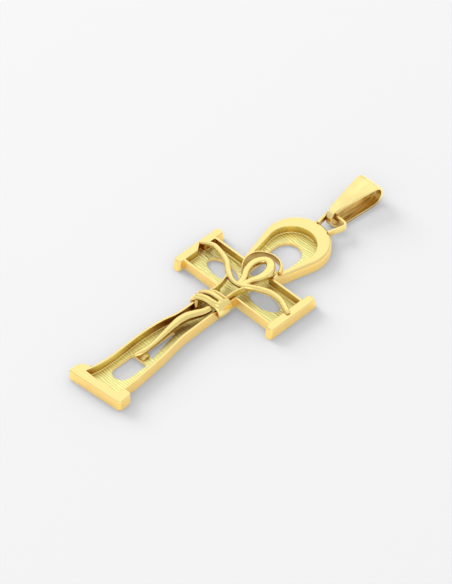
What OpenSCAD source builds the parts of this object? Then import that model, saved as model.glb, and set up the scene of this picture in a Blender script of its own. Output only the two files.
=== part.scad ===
// Ankh pendant with an abstract wire figure, lying on its back.
// Millimetres. +X runs along the crossbar, +Y up the shaft to the bail, +Z out of the front.
// The origin is the bottom centre of the pendant and its bail.

/* [Frame] */
// Middle of the crossing to the outer face of each end cap
arm_reach = 8.15; // [7.4:0.05:9.5]
// Width of the crossbar
arm_w = 5.4; // [5:0.1:6]
// Height of the frame, from its back to the polished rim
frame_t = 1.5; // [1.4:0.05:1.8]
// Thickness of the walls round the recess
wall_w = 0.3; // [0.25:0.01:0.4]
// Thickness of the back plate
plate_t = 0.45; // [0.35:0.05:0.6]
// Radius of the hollow corners between the shaft and the crossbar
corner_r = 0.9; // [0.6:0.05:1.1]

/* [End caps] */
// Length of an end cap, across the crossbar
cap_len = 7.8; // [7.2:0.1:8.4]
// Width of an end cap
cap_w = 1.1; // [0.9:0.05:1.4]
// How far the caps sit above the crossbar's middle line
cap_rise = 0.3; // [0.1:0.05:0.45]
// Depth of the notch in the left cap under the end of the arm wire
notch_w = 0.8; // [0.5:0.05:0.85]
// Length of that notch, along the cap
notch_len = 1.4; // [1.1:0.05:1.6]
// Radius of the corners of the caps, seen from the front
cap_corner_r = 0.42; // [0.3:0.02:0.44]

/* [Shaft and foot] */
// Middle of the crossing to the middle of the foot bar
shaft_len = 22.65; // [21:0.25:25]
// Width of the shaft at the waist
waist_w = 3.15; // [3:0.05:3.4]
// Width that the shaft flares to at the foot
flare_w = 5.5; // [5:0.1:6]
// Length of the foot bar
foot_len = 7.8; // [7.4:0.1:8.4]
// Width of the foot bar
foot_w = 2.1; // [1.9:0.05:2.4]
// Radius of the large round corner at the top of the foot bar's left end
foot_round_r = 1.35; // [1:0.05:1.4]
// Radius of the corners of the foot bar's right end
foot_corner_r = 0.5; // [0.3:0.02:0.6]
// Radius of the corner at the bottom of the foot bar's left end
foot_left_r = 0.25; // [0.2:0.05:0.4]
// Width of the polished face below the recess
foot_face_w = 1.12; // [0.8:0.02:1.4]
// Turn of the foot bar in its plane, in degrees
foot_turn = 5; // [0:0.5:7]

/* [Loop] */
// Outer radius of the loop
loop_r = 4.15; // [3.9:0.05:4.6]
// Middle of the crossing to the middle of the loop
loop_rise = 8.95; // [8.4:0.05:9.6]
// Width of the loop where it meets the crossbar
neck_w = 5.2; // [5:0.05:5.6]
// Width of the polished rim at the top of the loop
rim_top_w = 1.95; // [1.6:0.05:2.2]
// Width of the polished rim at the loop's sides
rim_side_w = 1.13; // [0.95:0.02:1.3]
// Width of the polished rim at the neck
rim_neck_w = 0.7; // [0.55:0.05:0.85]
// Radius of the rounded outer edge of the rim
rim_edge_r = 0.45; // [0.3:0.05:0.6]

/* [Holes in the back plate] */
// Radius of the loop's hole at its top
loop_hole_r = 1.8; // [1.6:0.05:1.9]
// Rim of plate left above the loop's hole
loop_hole_land = 2; // [1.8:0.05:2.3]
// Height of the loop's hole
loop_hole_len = 4.6; // [4.2:0.1:4.9]
// Half width of the opening behind the head
head_hole_r = 0.75; // [0.6:0.05:0.85]
// Width of the oval hole in each arm
arm_hole_w = 2.45; // [2.1:0.05:2.6]
// Radius of the long sides of each arm's hole
arm_hole_bow = 3.6; // [3.2:0.1:3.8]
// Radius of the outer end of each arm's hole
arm_hole_end_r = 0.8; // [0.6:0.05:0.95]
// Middle of the crossing to the middle of each arm's hole
arm_hole_x = 3.5; // [3.4:0.05:3.7]
// Radius of the square corners of the shaft's lower hole
hole_corner_r = 0.38; // [0.2:0.02:0.5]
// Plate left between the foot bar and the lower hole
low_hole_land = 2.1; // [1.8:0.05:2.3]
// How far the lower hole sits to the right of the middle line
low_hole_shift = 0.06; // [0:0.02:0.12]
// Width of the lower hole of the shaft
low_hole_w = 2.35; // [2.1:0.05:2.5]
// Height of the lower hole of the shaft
low_hole_len = 3.95; // [3.5:0.05:4.1]
// Length of the slim hole beside the leg
slim_hole_len = 4.6; // [4.2:0.1:4.9]
// Width of the slim hole at its lower end
slim_hole_w = 1.35; // [1.1:0.05:1.5]
// How far the slim hole sits to the right of the middle line
slim_hole_x = 0.27; // [0.1:0.01:0.35]
// Width of the bridge between the lower hole and the slim hole
bridge_w = 1.1; // [1:0.05:1.2]

/* [Figure] */
// Height of the figure's middle above the back, at the highest strand
figure_top = 2.3; // [2.2:0.05:2.5]
// Thickness of the arm wire where it is thickest
arm_wire_d = 0.86; // [0.76:0.02:0.96]
// Width of the band that the head ring is bent from
head_band_w = 1; // [0.86:0.02:1.1]
// Height of the head ring's band
head_band_h = 0.8; // [0.7:0.05:0.9]
// Length of the head and neck, from the chest
head_len = 4.9; // [4.6:0.1:5.1]
// Thickness of the halo band at its top
halo_t = 0.24; // [0.2:0.02:0.32]
// Height of the halo band
halo_h = 1.05; // [0.9:0.05:1.15]
// Thickness of the torso ribs
rib_t = 0.32; // [0.26:0.02:0.4]
// Height of the torso ribs
rib_h = 0.95; // [0.8:0.05:1.1]
// Width of a strand of the waist wrap
strand_w = 0.74; // [0.6:0.02:0.8]
// Thickness of a strand of the waist wrap
strand_t = 0.5; // [0.4:0.02:0.6]
// Width of the leg at the thigh
leg_w = 1.1; // [0.95:0.05:1.25]
// Height of the leg at the thigh
leg_h = 1.15; // [1:0.05:1.3]
// Thickness of the wrap's end that is tucked in beside the leg
tuck_d = 0.6; // [0.5:0.05:0.7]
// Length of the footrest, across the shaft
footrest_len = 1.1; // [0.9:0.05:1.3]
// Width of the footrest, along the shaft
footrest_w = 0.95; // [0.8:0.05:0.98]
// Height of the footrest above the plate
footrest_h = 0.42; // [0.3:0.02:0.55]

/* [Link] */
// Reach of the link beyond the loop
link_reach = 2.3; // [2.2:0.05:2.7]
// Width of the link at its far bar
link_w = 3.25; // [3.1:0.05:3.5]
// Width of the link where it is soldered on
link_base_w = 2.15; // [2:0.05:2.4]
// Thickness of the link's flat band
link_t = 0.36; // [0.32:0.01:0.42]
// Height of the link's flat band
link_h = 0.76; // [0.66:0.02:0.86]
// How far the link sits to the right of the middle line
link_shift = 0.83; // [0.6:0.01:0.9]
// Turn of the link in its plane, in degrees
link_turn = 3.5; // [0:0.5:4]
// How far the link's bar sits above the middle of the bail's eye
link_raise = 0.18; // [0.1:0.01:0.24]

/* [Bail] */
// Length of the bail
bail_len = 8; // [7.4:0.1:8.6]
// Width of the ribbon at the bail's fold
bail_fold_w = 3.05; // [2.8:0.05:3.4]
// Width of the ribbon where it turns inside the link
bail_tip_w = 0.8; // [0.7:0.05:0.9]
// Width of the front of the ribbon above the eye
bail_front_w = 1; // [0.8:0.05:1.2]
// Width of the back of the ribbon below the eye
bail_back_w = 1.9; // [1.6:0.05:2.1]
// How far the ribbon swings to the left past the link's bar
bail_swing = 0.45; // [0.3:0.05:0.5]
// Thickness of the ribbon
bail_t = 0.34; // [0.3:0.01:0.38]
// Height of the bail at its fold
bail_fold_h = 2.9; // [2.6:0.05:3.2]
// Clearance round the link inside the bail's eye
eye_gap = 0.13; // [0.12:0.01:0.2]

/* [Hidden] */

// How far one piece runs into the one that it is soldered to
bite = 0.12;
// How far the end of a straight side runs into the arc that it meets
overrun = 0.02;
// Straight steps between two rows of a table
steps = 3;
// Sides of the round wires
wire_sides = 10;
// Sides of the flat bands
band_sides = 8;

// Half sizes and heights that several pieces share
arm_half = arm_w / 2;
waist_half = waist_w / 2;
flare_half = flare_w / 2;
recess_h = frame_t - plate_t + bite;
loop_top = loop_rise + loop_r;
inner_r = loop_r - rim_side_w;
inner_y = loop_top - rim_top_w - inner_r;
neck_half = neck_w / 2;

// The bail's eye is centred on the link's far bar
eye_in_r = norm([link_t, link_h]) / 2 + link_raise + eye_gap;
eye_r = eye_in_r + bail_t;
fold_r = bail_fold_h / 2;
eye_y = loop_top + link_reach - link_t / 2;
bail_top = eye_y - eye_r + bail_len;
fold_y = bail_top - fold_r;
eye_left = link_shift - link_w / 2 + link_t + eye_gap;

// Lowest point of the turned foot bar, and the way from the crossing to the origin
foot_drop = (foot_len / 2 - foot_left_r) * sin(foot_turn)
    + (foot_w / 2 - foot_left_r) * cos(foot_turn) + foot_left_r;
foot_bottom = -shaft_len - foot_drop;
origin_y = (bail_top + foot_bottom) / 2;

// Top edge of the foot bar's polished face, where the recess begins
foot_face_y = -shaft_len + foot_face_w - foot_w / 2;
low_hole_y = foot_face_y + low_hole_land;
bridge_y = low_hole_y + low_hole_len;

// Shares that place the figure on the crossbar and the shaft
chest_share = -0.2;
rib_share = -0.25;
wrap_share = -0.17;
chest_y = chest_share * arm_w;
rib_y = rib_share * arm_w;
wrap_y = wrap_share * shaft_len;

// Reach of the right and the left arm's hole towards the figure, and how far both sit above the middle line
arm_hole_tips = [2.4, 3];
arm_hole_rise = 0.15;

// How much the ends of the wires and of the strands are drawn in
wire_end = 0.6;
strand_end = 0.7;

// Sides of the shaft.
// Columns: share of the way down, share of the flare on the left, share of the flare on the right
shaft_rows = [
    [0.06, 0.00, 0.00],
    [0.30, 0.00, 0.00],
    [0.40, 0.06, 0.04],
    [0.49, 0.42, 0.10],
    [0.58, 0.58, 0.36],
    [0.66, 0.60, 0.61],
    [0.75, 0.52, 0.79],
    [0.84, 0.46, 0.97],
    [0.93, 0.58, 1.06],
    [1.00, 0.92, 1.12],
];

// Arm wire. Columns: x / arm_reach, y / arm_half, z / figure_top, thickness / arm_wire_d
arm_rows = [
    [-0.975, 0.26, 0.60, 0.55],
    [-0.80, 0.50, 0.69, 0.74],
    [-0.66, 0.48, 0.73, 0.80],
    [-0.40, 0.21, 0.80, 0.88],
    [-0.18, -0.28, 0.83, 1.00],
    [-0.01, -0.48, 0.86, 0.76],
    [0.115, -0.41, 0.85, 0.78],
    [0.28, -0.06, 0.81, 0.92],
    [0.455, 0.20, 0.77, 0.94],
    [0.575, 0.26, 0.75, 0.94],
    [0.69, 0.24, 0.72, 0.94],
    [0.86, 0.06, 0.66, 0.90],
    [0.93, -0.03, 0.60, 0.74],
];

// Head ring. Columns: x / head_len, y / head_len above the chest, z / figure_top, width / head_band_w
head_rows = [
    [0.12, 0.00, 0.84, 0.78],
    [0.07, 0.20, 0.86, 0.84],
    [-0.05, 0.40, 0.88, 0.84],
    [-0.115, 0.64, 0.90, 0.84],
    [-0.07, 0.85, 0.91, 0.88],
    [0.05, 0.98, 0.92, 0.94],
    [0.20, 0.96, 0.92, 1.06],
    [0.32, 0.82, 0.91, 1.14],
    [0.36, 0.64, 0.90, 1.10],
    [0.33, 0.44, 0.88, 0.96],
    [0.25, 0.25, 0.86, 0.84],
    [0.21, -0.02, 0.82, 0.72],
];

// Halo band. Columns: x / head_len, y / head_len above the chest, z / figure_top, thickness / halo_t
halo_rows = [
    [-0.14, 0.34, 0.66, 0.70],
    [-0.28, 0.50, 0.74, 1.00],
    [-0.36, 0.70, 0.78, 1.00],
    [-0.35, 0.91, 0.79, 1.00],
    [-0.27, 1.05, 0.80, 1.00],
    [-0.12, 1.15, 0.80, 1.00],
    [0.06, 1.205, 0.80, 1.00],
    [0.26, 1.195, 0.78, 1.20],
    [0.42, 1.11, 0.74, 1.80],
    [0.51, 0.96, 0.66, 2.20],
];

// Torso ribs. Columns: x of the left rib / waist_half, x of the right rib / waist_half,
// share of the way from the chest to the wrap, z / figure_top
rib_rows = [
    [-0.92, 0.90, -0.10, 0.74],
    [-0.74, 0.74, 0.25, 0.74],
    [-0.64, 0.68, 0.60, 0.73],
    [-0.60, 0.68, 1.05, 0.72],
];

// Strands of the waist wrap over the shaft. Columns: x / waist_half, z / figure_top
strand_rows = [
    [-1.12, 0.22],
    [-1.28, 0.45],
    [-1.18, 0.74],
    [-0.80, 0.92],
    [0.00, 1.00],
    [0.60, 0.97],
    [1.00, 0.82],
    [1.16, 0.55],
    [1.12, 0.31],
];

// Where the strands lie. Columns: y / shaft_len at the left end, in the middle, at the right end,
// width / strand_w, height / figure_top
wrap_rows = [
    [-0.222, -0.177, -0.167, 0.64, 0.94],
    [-0.226, -0.203, -0.196, 0.94, 1.00],
    [-0.258, -0.240, -0.224, 0.80, 0.98],
    [-0.274, -0.254, -0.243, 0.66, 0.90],
];

// Fan where the strands run together at the right.
// Columns: x / waist_half, y / shaft_len, z / figure_top, width / strand_w
fan_rows = [
    [0.60, -0.206, 0.90, 1.00],
    [0.86, -0.206, 0.85, 2.20],
    [1.05, -0.206, 0.72, 2.70],
    [1.14, -0.206, 0.52, 2.75],
    [1.12, -0.206, 0.28, 2.70],
];

// Leg and foot. Columns: x / waist_half, y / shaft_len, z / figure_top, width / leg_w, height / leg_h
leg_rows = [
    [0.42, -0.262, 0.68, 0.80, 0.80],
    [0.34, -0.300, 0.66, 0.84, 0.90],
    [0.06, -0.345, 0.65, 0.95, 0.98],
    [-0.18, -0.385, 0.64, 1.00, 1.00],
    [-0.27, -0.430, 0.62, 1.00, 1.00],
    [-0.25, -0.480, 0.59, 0.92, 0.96],
    [-0.18, -0.540, 0.55, 0.80, 0.86],
    [-0.10, -0.600, 0.51, 0.68, 0.74],
    [-0.06, -0.648, 0.49, 0.60, 0.66],
    [-0.10, -0.680, 0.46, 0.72, 0.66],
    [-0.22, -0.708, 0.42, 0.76, 0.56],
    [-0.42, -0.742, 0.38, 0.40, 0.34],
];

// End of the wrap's wire, tucked in beside the leg.
// Columns: x / waist_half, y / shaft_len, z / figure_top, thickness / tuck_d
tuck_rows = [
    [-0.84, -0.256, 0.78, 0.80],
    [-0.78, -0.274, 0.62, 1.00],
    [-0.62, -0.288, 0.44, 1.00],
    [-0.44, -0.292, 0.24, 0.90],
];

// Smooth curve through a table's rows
function between(a, b, c, d, t) =
    0.5 * (2 * b + (c - a) * t + (2 * a - 5 * b + 4 * c - d) * t * t + (3 * b - a - 3 * c + d) * t * t * t);
function row(rows, i) = rows[max(0, min(len(rows) - 1, i))];
function smooth(rows, n = steps) = [
    for (i = [0 : len(rows) - 2], k = [0 : n - 1])
        between(row(rows, i - 1), row(rows, i), row(rows, i + 1), row(rows, i + 2), k / n),
    rows[len(rows) - 1],
];
function unit(v) = v / norm(v);
function along(path, i) = unit(row(path, i + 1) - row(path, i - 1));

// One ring of a sweep: across lies square to the reference direction, and rise along it
function ring(path, i, half_w, half_h, ref, sides) =
    let (t = along(path, i), across = unit(cross(t, ref)), rise = cross(across, t))
    [for (k = [0 : sides - 1])
        path[i] + across * half_w * cos(360 * (k + 0.5) / sides) + rise * half_h * sin(360 * (k + 0.5) / sides)];

// A closed solid along a path. Sizes holds the half width and half height at each point
module sweep(path, sizes, ref, sides) {
    last = len(path) - 1;
    points = [for (i = [0 : last]) each ring(path, i, sizes[i][0], sizes[i][1], ref, sides)];
    walls = [for (i = [0 : last - 1], k = [0 : sides - 1])
        let (a = i * sides + k, b = i * sides + (k + 1) % sides) [a, b, b + sides, a + sides]];
    start = [for (k = [sides - 1 : -1 : 0]) k];
    finish = [for (k = [0 : sides - 1]) last * sides + k];
    polyhedron(points = points, faces = concat([start], walls, [finish]), convexity = 6);
}

// The same size all along, drawn in at both ends
function even(n, half_w, half_h, end = wire_end) =
    [for (i = [0 : n - 1]) [half_w, half_h] * ((i == 0 || i == n - 1) ? end : 1)];

// A slab of the frame's outline, from the back up
module slab(height, from = 0) {
    translate([0, 0, from]) linear_extrude(height) children();
}

// A bar with rounded corners, seen from the front. The two corners of its left end have their own radii
module bar_plan(size_x, size_y, r, low_r, high_r) {
    right = size_x / 2;
    top = size_y / 2;
    polygon([
        [-right, low_r - top], [low_r - right, -top], [right - r, -top], [right, r - top],
        [right, top - r], [right - r, top], [high_r - right, top], [-right, top - high_r],
    ]);
    for (y = [r - top, top - r])
        translate([right - r, y]) circle(r, $fn = 48);
    translate([low_r - right, low_r - top]) circle(low_r, $fn = 48);
    intersection() {
        translate([high_r - right, top - high_r]) circle(high_r, $fn = 48);
        translate([-right, top - high_r]) square(high_r);
    }
}

// Where a line from a point on one side touches a circle on the middle line
function touch(half, from_y, r, centre_y) =
    let (d = norm([half, centre_y - from_y]), swing = asin(r / d),
        heading = atan2(centre_y - from_y, -half) - swing, reach = sqrt(d * d - r * r))
    [half + reach * cos(heading), from_y + reach * sin(heading)];

// A circle that runs down in two straight tangents to a neck. The tangents end just inside the circle
module drop_plan(r, centre_y, half, from_y) {
    centre = [0, centre_y];
    side = centre + (touch(half, from_y, r, centre_y) - centre) * (1 - overrun / r);
    translate(centre) circle(r, $fn = 96);
    polygon([[half, from_y], side, [-side[0], side[1]], [-half, from_y]]);
}

// The shaft between its two curved sides, each moved in by the same amount
module shaft_plan(inset) {
    sides = smooth(shaft_rows, 2);
    flare = flare_half - waist_half;
    left = [for (s = sides) [-(waist_half + flare * s[1] - inset), -shaft_len * s[0]]];
    right = [for (i = [len(sides) - 1 : -1 : 0])
        [waist_half + flare * sides[i][2] - inset, -shaft_len * sides[i][0]]];
    polygon(concat(left, right));
}

module cap_plan() {
    for (s = [-1, 1])
        translate([s * (arm_reach - cap_w / 2), cap_rise])
            bar_plan(cap_w, cap_len, cap_corner_r, cap_corner_r, cap_corner_r);
}

module foot_plan() {
    translate([0, -shaft_len])
        rotate(foot_turn) bar_plan(foot_len, foot_w, foot_corner_r, foot_left_r, foot_round_r);
}

// Hollow corners where the shaft meets the crossbar
module corner_plan() {
    for (s = [0, 1])
        mirror([s, 0]) translate([waist_half, -arm_half])
            difference() {
                translate([-bite, -corner_r]) square([corner_r + bite, corner_r + bite]);
                translate([corner_r, -corner_r]) circle(corner_r, $fn = 48);
            }
}

module outline_plan() {
    square([2 * arm_reach - cap_w, arm_w], center = true);
    shaft_plan(0);
    corner_plan();
    cap_plan();
    foot_plan();
    drop_plan(loop_r, loop_rise, neck_half, arm_half - bite);
}

module recess_plan() {
    square([2 * (arm_reach - cap_w), arm_w - 2 * wall_w], center = true);
    difference() {
        shaft_plan(wall_w);
        translate([0, -shaft_len]) rotate(foot_turn)
            translate([-foot_len, foot_face_w - foot_w / 2 - foot_w]) square([2 * foot_len, foot_w]);
    }
    drop_plan(inner_r, inner_y, neck_half - rim_neck_w, arm_half - wall_w - bite);
    notch_plan();
}

// A three-cornered notch that runs from the recess into the left cap, below the end of the arm wire
module notch_plan() {
    wire_y = arm_rows[0][1] * arm_half;
    translate([cap_w - arm_reach, wire_y])
        polygon([[bite, bite], [-notch_w, 0], [bite, bite - notch_len]]);
}

// A hole that is round towards the cap and narrows towards the figure, where it may be cut short
module arm_hole_plan(inner) {
    sink = arm_hole_bow - arm_hole_w / 2;
    end_x = sqrt(pow(arm_hole_bow - arm_hole_end_r, 2) - sink * sink);
    touch_x = end_x * arm_hole_bow / (arm_hole_bow - arm_hole_end_r);
    intersection() {
        translate([0, sink]) circle(arm_hole_bow, $fn = 128);
        translate([0, -sink]) circle(arm_hole_bow, $fn = 128);
        translate([-inner, -arm_hole_w]) square([inner + touch_x, 2 * arm_hole_w]);
    }
    translate([end_x, 0]) circle(arm_hole_end_r, $fn = 64);
}

module loop_hole_plan() {
    top = loop_top - rim_top_w - loop_hole_land;
    foot_r = loop_hole_r / 3;
    translate([0, top - loop_hole_r]) circle(loop_hole_r, $fn = 96);
    translate([-loop_hole_r, top - loop_hole_len + foot_r])
        square([2 * loop_hole_r, loop_hole_len - loop_hole_r - foot_r]);
    for (s = [-1, 1])
        translate([s * (loop_hole_r - foot_r), top - loop_hole_len + foot_r]) circle(foot_r, $fn = 48);
    translate([foot_r - loop_hole_r, top - loop_hole_len])
        square([2 * (loop_hole_r - foot_r), loop_hole_len / 2]);
}

// The opening behind the head joins the loop's hole
module head_hole_plan() {
    translate([-head_hole_r / 2, arm_half]) {
        circle(head_hole_r, $fn = 48);
        translate([-head_hole_r, 0]) square([2 * head_hole_r, loop_rise - arm_half - loop_hole_r]);
    }
}

module low_hole_plan() {
    r = low_hole_w / 2;
    translate([low_hole_shift, low_hole_y + r]) {
        circle(r, $fn = 64);
        translate([-r, 0]) square([low_hole_w, low_hole_len - r - hole_corner_r]);
        translate([hole_corner_r - r, 0]) square([low_hole_w - 2 * hole_corner_r, low_hole_len - r]);
        for (s = [-1, 1])
            translate([s * (r - hole_corner_r), low_hole_len - r - hole_corner_r])
                circle(hole_corner_r, $fn = 48);
    }
}

// A slim hole that narrows to a point up beside the leg
module slim_hole_plan() {
    left = -slim_hole_w / 2;
    tip_share = 0.25;
    translate([slim_hole_x, bridge_y + bridge_w])
        polygon([[left, 0], [-left, 0], [left + tip_share * slim_hole_w, slim_hole_len], [left, slim_hole_len]]);
}

// Takes the rounded outer edge off the loop's rim: round the circle, then down both tangents
module rim_edge() {
    side = touch(neck_half, arm_half - bite, loop_r, loop_rise);
    lean = atan2(side[1] - arm_half + bite, side[0] - neck_half);
    turn = 90 - lean;
    length = norm([side[0] - neck_half, side[1] - arm_half + bite]);
    translate([0, loop_rise, frame_t - rim_edge_r]) rotate(-turn)
        rotate_extrude(angle = 180 + 2 * turn, $fn = 96) translate([loop_r - rim_edge_r, 0]) rim_edge_plan();
    for (s = [0, 1])
        mirror([s, 0, 0])
            translate([side[0], side[1], frame_t - rim_edge_r]) rotate([90, 0, -turn])
                translate([-rim_edge_r, 0, 0]) linear_extrude(length - 2 * bite) rim_edge_plan();
}

module rim_edge_plan() {
    difference() {
        square(rim_edge_r + bite);
        circle(rim_edge_r, $fn = 48);
    }
}

module frame() {
    difference() {
        slab(frame_t) outline_plan();
        slab(recess_h, plate_t) recess_plan();
        rim_edge();
        slab(plate_t + 2 * bite, -bite) {
            for (s = [0, 1])
                mirror([s, 0]) translate([arm_hole_x, arm_hole_rise]) arm_hole_plan(arm_hole_tips[s]);
            loop_hole_plan();
            head_hole_plan();
            low_hole_plan();
            slim_hole_plan();
        }
    }
}

module arm_wire() {
    path = smooth([for (r = arm_rows) [r[0] * arm_reach, r[1] * arm_half, r[2] * figure_top]]);
    sizes = smooth([for (r = arm_rows) [r[3], r[3]] * arm_wire_d / 2]);
    sweep(path, sizes, [0, 0, 1], wire_sides);
}

function from_chest(rows) = smooth([for (r = rows)
    [r[0] * head_len, r[1] * head_len + chest_y, r[2] * figure_top]]);

module head_ring() {
    sizes = smooth([for (r = head_rows) [r[3] * head_band_w / 2, head_band_h / 2]]);
    sweep(from_chest(head_rows), sizes, [0, 0, 1], band_sides);
}

module halo() {
    sizes = smooth([for (r = halo_rows) [r[3] * halo_t / 2, halo_h / 2]]);
    sweep(from_chest(halo_rows), sizes, [0, 0, 1], band_sides);
}

// One rib. The column tells which side of the torso it is on
module rib(column) {
    path = smooth([for (r = rib_rows)
        [r[column] * waist_half, rib_y + r[2] * (wrap_y - rib_y), r[3] * figure_top]]);
    sweep(path, even(len(path), rib_t / 2, rib_h / 2), [0, 0, 1], band_sides);
}

// One strand goes over the waist and down both outer walls
module strand(w) {
    path = smooth([for (r = strand_rows)
        let (end = r[0] < 0 ? w[0] : w[2])
        [r[0] * waist_half, shaft_len * (w[1] + (end - w[1]) * min(1, r[0] * r[0])), r[1] * w[4] * figure_top]]);
    sweep(path, even(len(path), strand_t / 2, w[3] * strand_w / 2, strand_end), [0, 1, 0], band_sides);
}

// Points on the shaft, from rows whose first three columns are shares
function on_shaft(rows) = smooth([for (r = rows) [r[0] * waist_half, r[1] * shaft_len, r[2] * figure_top]]);

// The fan where the strands run together
module fan() {
    sizes = smooth([for (r = fan_rows) [strand_t / 2, r[3] * strand_w / 2]]);
    sweep(on_shaft(fan_rows), sizes, [0, 1, 0], band_sides);
}

// The leg, which ends in a small foot with its toe to the left
module leg() {
    sizes = smooth([for (r = leg_rows) [r[3] * leg_w / 2, r[4] * leg_h / 2]]);
    sweep(on_shaft(leg_rows), sizes, [0, 0, 1], wire_sides);
}

module tucked_end() {
    sizes = smooth([for (r = tuck_rows) [r[3], r[3]] * tuck_d / 2]);
    sweep(on_shaft(tuck_rows), sizes, [0, 1, 0], wire_sides);
}

// A small bracket on the bridge between the shaft's two holes, sloped on its lower side
module footrest() {
    top = footrest_h + bite;
    translate([-footrest_len / 2, bridge_y + bite, plate_t - bite]) rotate([90, 0, 90])
        linear_extrude(footrest_len)
            polygon([[0, 0], [footrest_w, 0], [footrest_w, top], [footrest_w / 2, top], [0, 2 * bite]]);
}

// Outline of the link: four round corners, the two near ones inside the loop's rim
module link_plan(inset) {
    corner = 2 * link_t;
    r = corner - inset;
    far = [link_w / 2 - corner, loop_top + link_reach - corner];
    near = [link_base_w / 2 - corner, loop_top - corner];
    lean = atan2(far[0] - near[0], far[1] - near[1]);
    out = [r * cos(lean), -r * sin(lean)];
    half = [[0, far[1] + r], far + [0, r], far + out, near + out, near - [0, r], [0, near[1] - r]];
    translate([link_shift, eye_y]) rotate(-link_turn) translate([0, -eye_y])
        for (s = [0, 1])
            mirror([s, 0]) {
                polygon(half);
                translate(far) circle(r, $fn = 32);
                translate(near) circle(r, $fn = 32);
            }
}

module link() {
    translate([0, 0, eye_r + link_raise - link_h / 2])
        linear_extrude(link_h)
            difference() {
                link_plan(0);
                link_plan(link_t);
                translate([0, loop_rise]) circle(loop_r - rim_edge_r, $fn = 96);
            }
}

module ankh() {
    color("gold")
        translate([0, -origin_y, 0]) {
            frame();
            link();
            arm_wire();
            head_ring();
            halo();
            rib(0);
            rib(1);
            strand(wrap_rows[0]);
            strand(wrap_rows[1]);
            strand(wrap_rows[2]);
            strand(wrap_rows[3]);
            fan();
            leg();
            tucked_end();
            footrest();
        }
}

// Side view of the bail: two circles that stand on the same level, and what lies between them
module bail_side(inset) {
    rise = atan2(fold_r - eye_r, fold_y - eye_y);
    top = 90 + 2 * rise;
    translate([eye_y, eye_r]) circle(eye_r - inset, $fn = 64);
    translate([fold_y, fold_r]) circle(fold_r - inset, $fn = 64);
    polygon([
        [eye_y, inset],
        [fold_y, inset],
        [fold_y + (fold_r - inset) * cos(top), fold_r + (fold_r - inset) * sin(top)],
        [eye_y + (eye_r - inset) * cos(top), eye_r + (eye_r - inset) * sin(top)],
    ]);
}

// Front view of one side of the ribbon: a narrow tip, then straight edges from the eye to the fold
module ribbon_plan(eye_w) {
    near = eye_y - eye_r - bite;
    far = bail_top + bite;
    tip_right = eye_left + bail_tip_w;
    left = eye_left - bail_swing;
    polygon([
        [eye_left, near], [tip_right, near], [tip_right, eye_y - eye_in_r], [left + eye_w, eye_y],
        [bail_fold_w / 2, fold_y], [bail_fold_w / 2, far],
        [-bail_fold_w / 2, far], [-bail_fold_w / 2, fold_y], [left, eye_y], [eye_left, eye_y - eye_in_r],
    ]);
}

module bail() {
    color("gold")
        translate([0, -origin_y, 0])
            intersection() {
                translate([-bail_fold_w, 0, 0]) rotate([90, 0, 90])
                    linear_extrude(2 * bail_fold_w)
                        difference() {
                            bail_side(0);
                            bail_side(bail_t);
                        }
                union() {
                    slab(bail_fold_h, eye_r) ribbon_plan(bail_front_w);
                    slab(eye_r + 2 * bite, -bite) ribbon_plan(bail_back_w);
                }
            }
}

ankh();
bail();
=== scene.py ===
"""Gold ankh pendant with an abstract wire figure, lying on its back with its bail laid behind it.

The pieces are modelled in millimetres, with +X along the crossbar, +Y up the shaft and the middle of the
crossing at zero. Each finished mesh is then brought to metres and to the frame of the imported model.
"""
import math
from types import SimpleNamespace

import bmesh
import bpy
from bmesh.types import BMEdge, BMVert
from bpy.props import FloatProperty, FloatVectorProperty, PointerProperty
from mathutils import Matrix, Vector


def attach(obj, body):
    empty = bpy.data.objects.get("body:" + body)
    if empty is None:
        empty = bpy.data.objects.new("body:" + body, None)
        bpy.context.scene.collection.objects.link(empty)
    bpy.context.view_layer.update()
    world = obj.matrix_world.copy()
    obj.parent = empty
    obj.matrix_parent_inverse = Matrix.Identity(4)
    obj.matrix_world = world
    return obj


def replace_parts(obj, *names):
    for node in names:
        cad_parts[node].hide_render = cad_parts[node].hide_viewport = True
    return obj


bl_info = {
    "name": "Ankh Pendant",
    "version": (1, 0, 0),
    "blender": (4, 5, 0),
    "location": "View3D > Sidebar > Pendant",
    "description": "Builds a gold ankh pendant with a wire figure, its link and bail, and a plain stage",
    "category": "Add Mesh",
}

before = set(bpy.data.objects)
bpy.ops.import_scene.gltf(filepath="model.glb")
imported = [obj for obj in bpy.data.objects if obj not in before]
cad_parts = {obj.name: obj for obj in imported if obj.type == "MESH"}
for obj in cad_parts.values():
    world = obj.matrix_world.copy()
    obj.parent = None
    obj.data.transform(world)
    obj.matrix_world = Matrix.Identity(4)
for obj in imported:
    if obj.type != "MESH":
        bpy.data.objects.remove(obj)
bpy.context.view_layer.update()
MM = 0.001
BODY = "root"


def length(label, text, mm):
    """A size that is shown in the scene's units and written here in millimetres."""
    return FloatProperty(name=label, description=text, default=mm * MM, subtype="DISTANCE", unit="LENGTH")


def colour(label, text, rgb):
    """A base colour of one of the finishes."""
    return FloatVectorProperty(name=label, description=text, default=rgb, size=3, subtype="COLOR",
                               min=0, max=1)


def angle(label, text, degrees):
    """A turn, written here in degrees."""
    return FloatProperty(name=label, description=text, default=math.radians(degrees), subtype="ANGLE")


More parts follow.
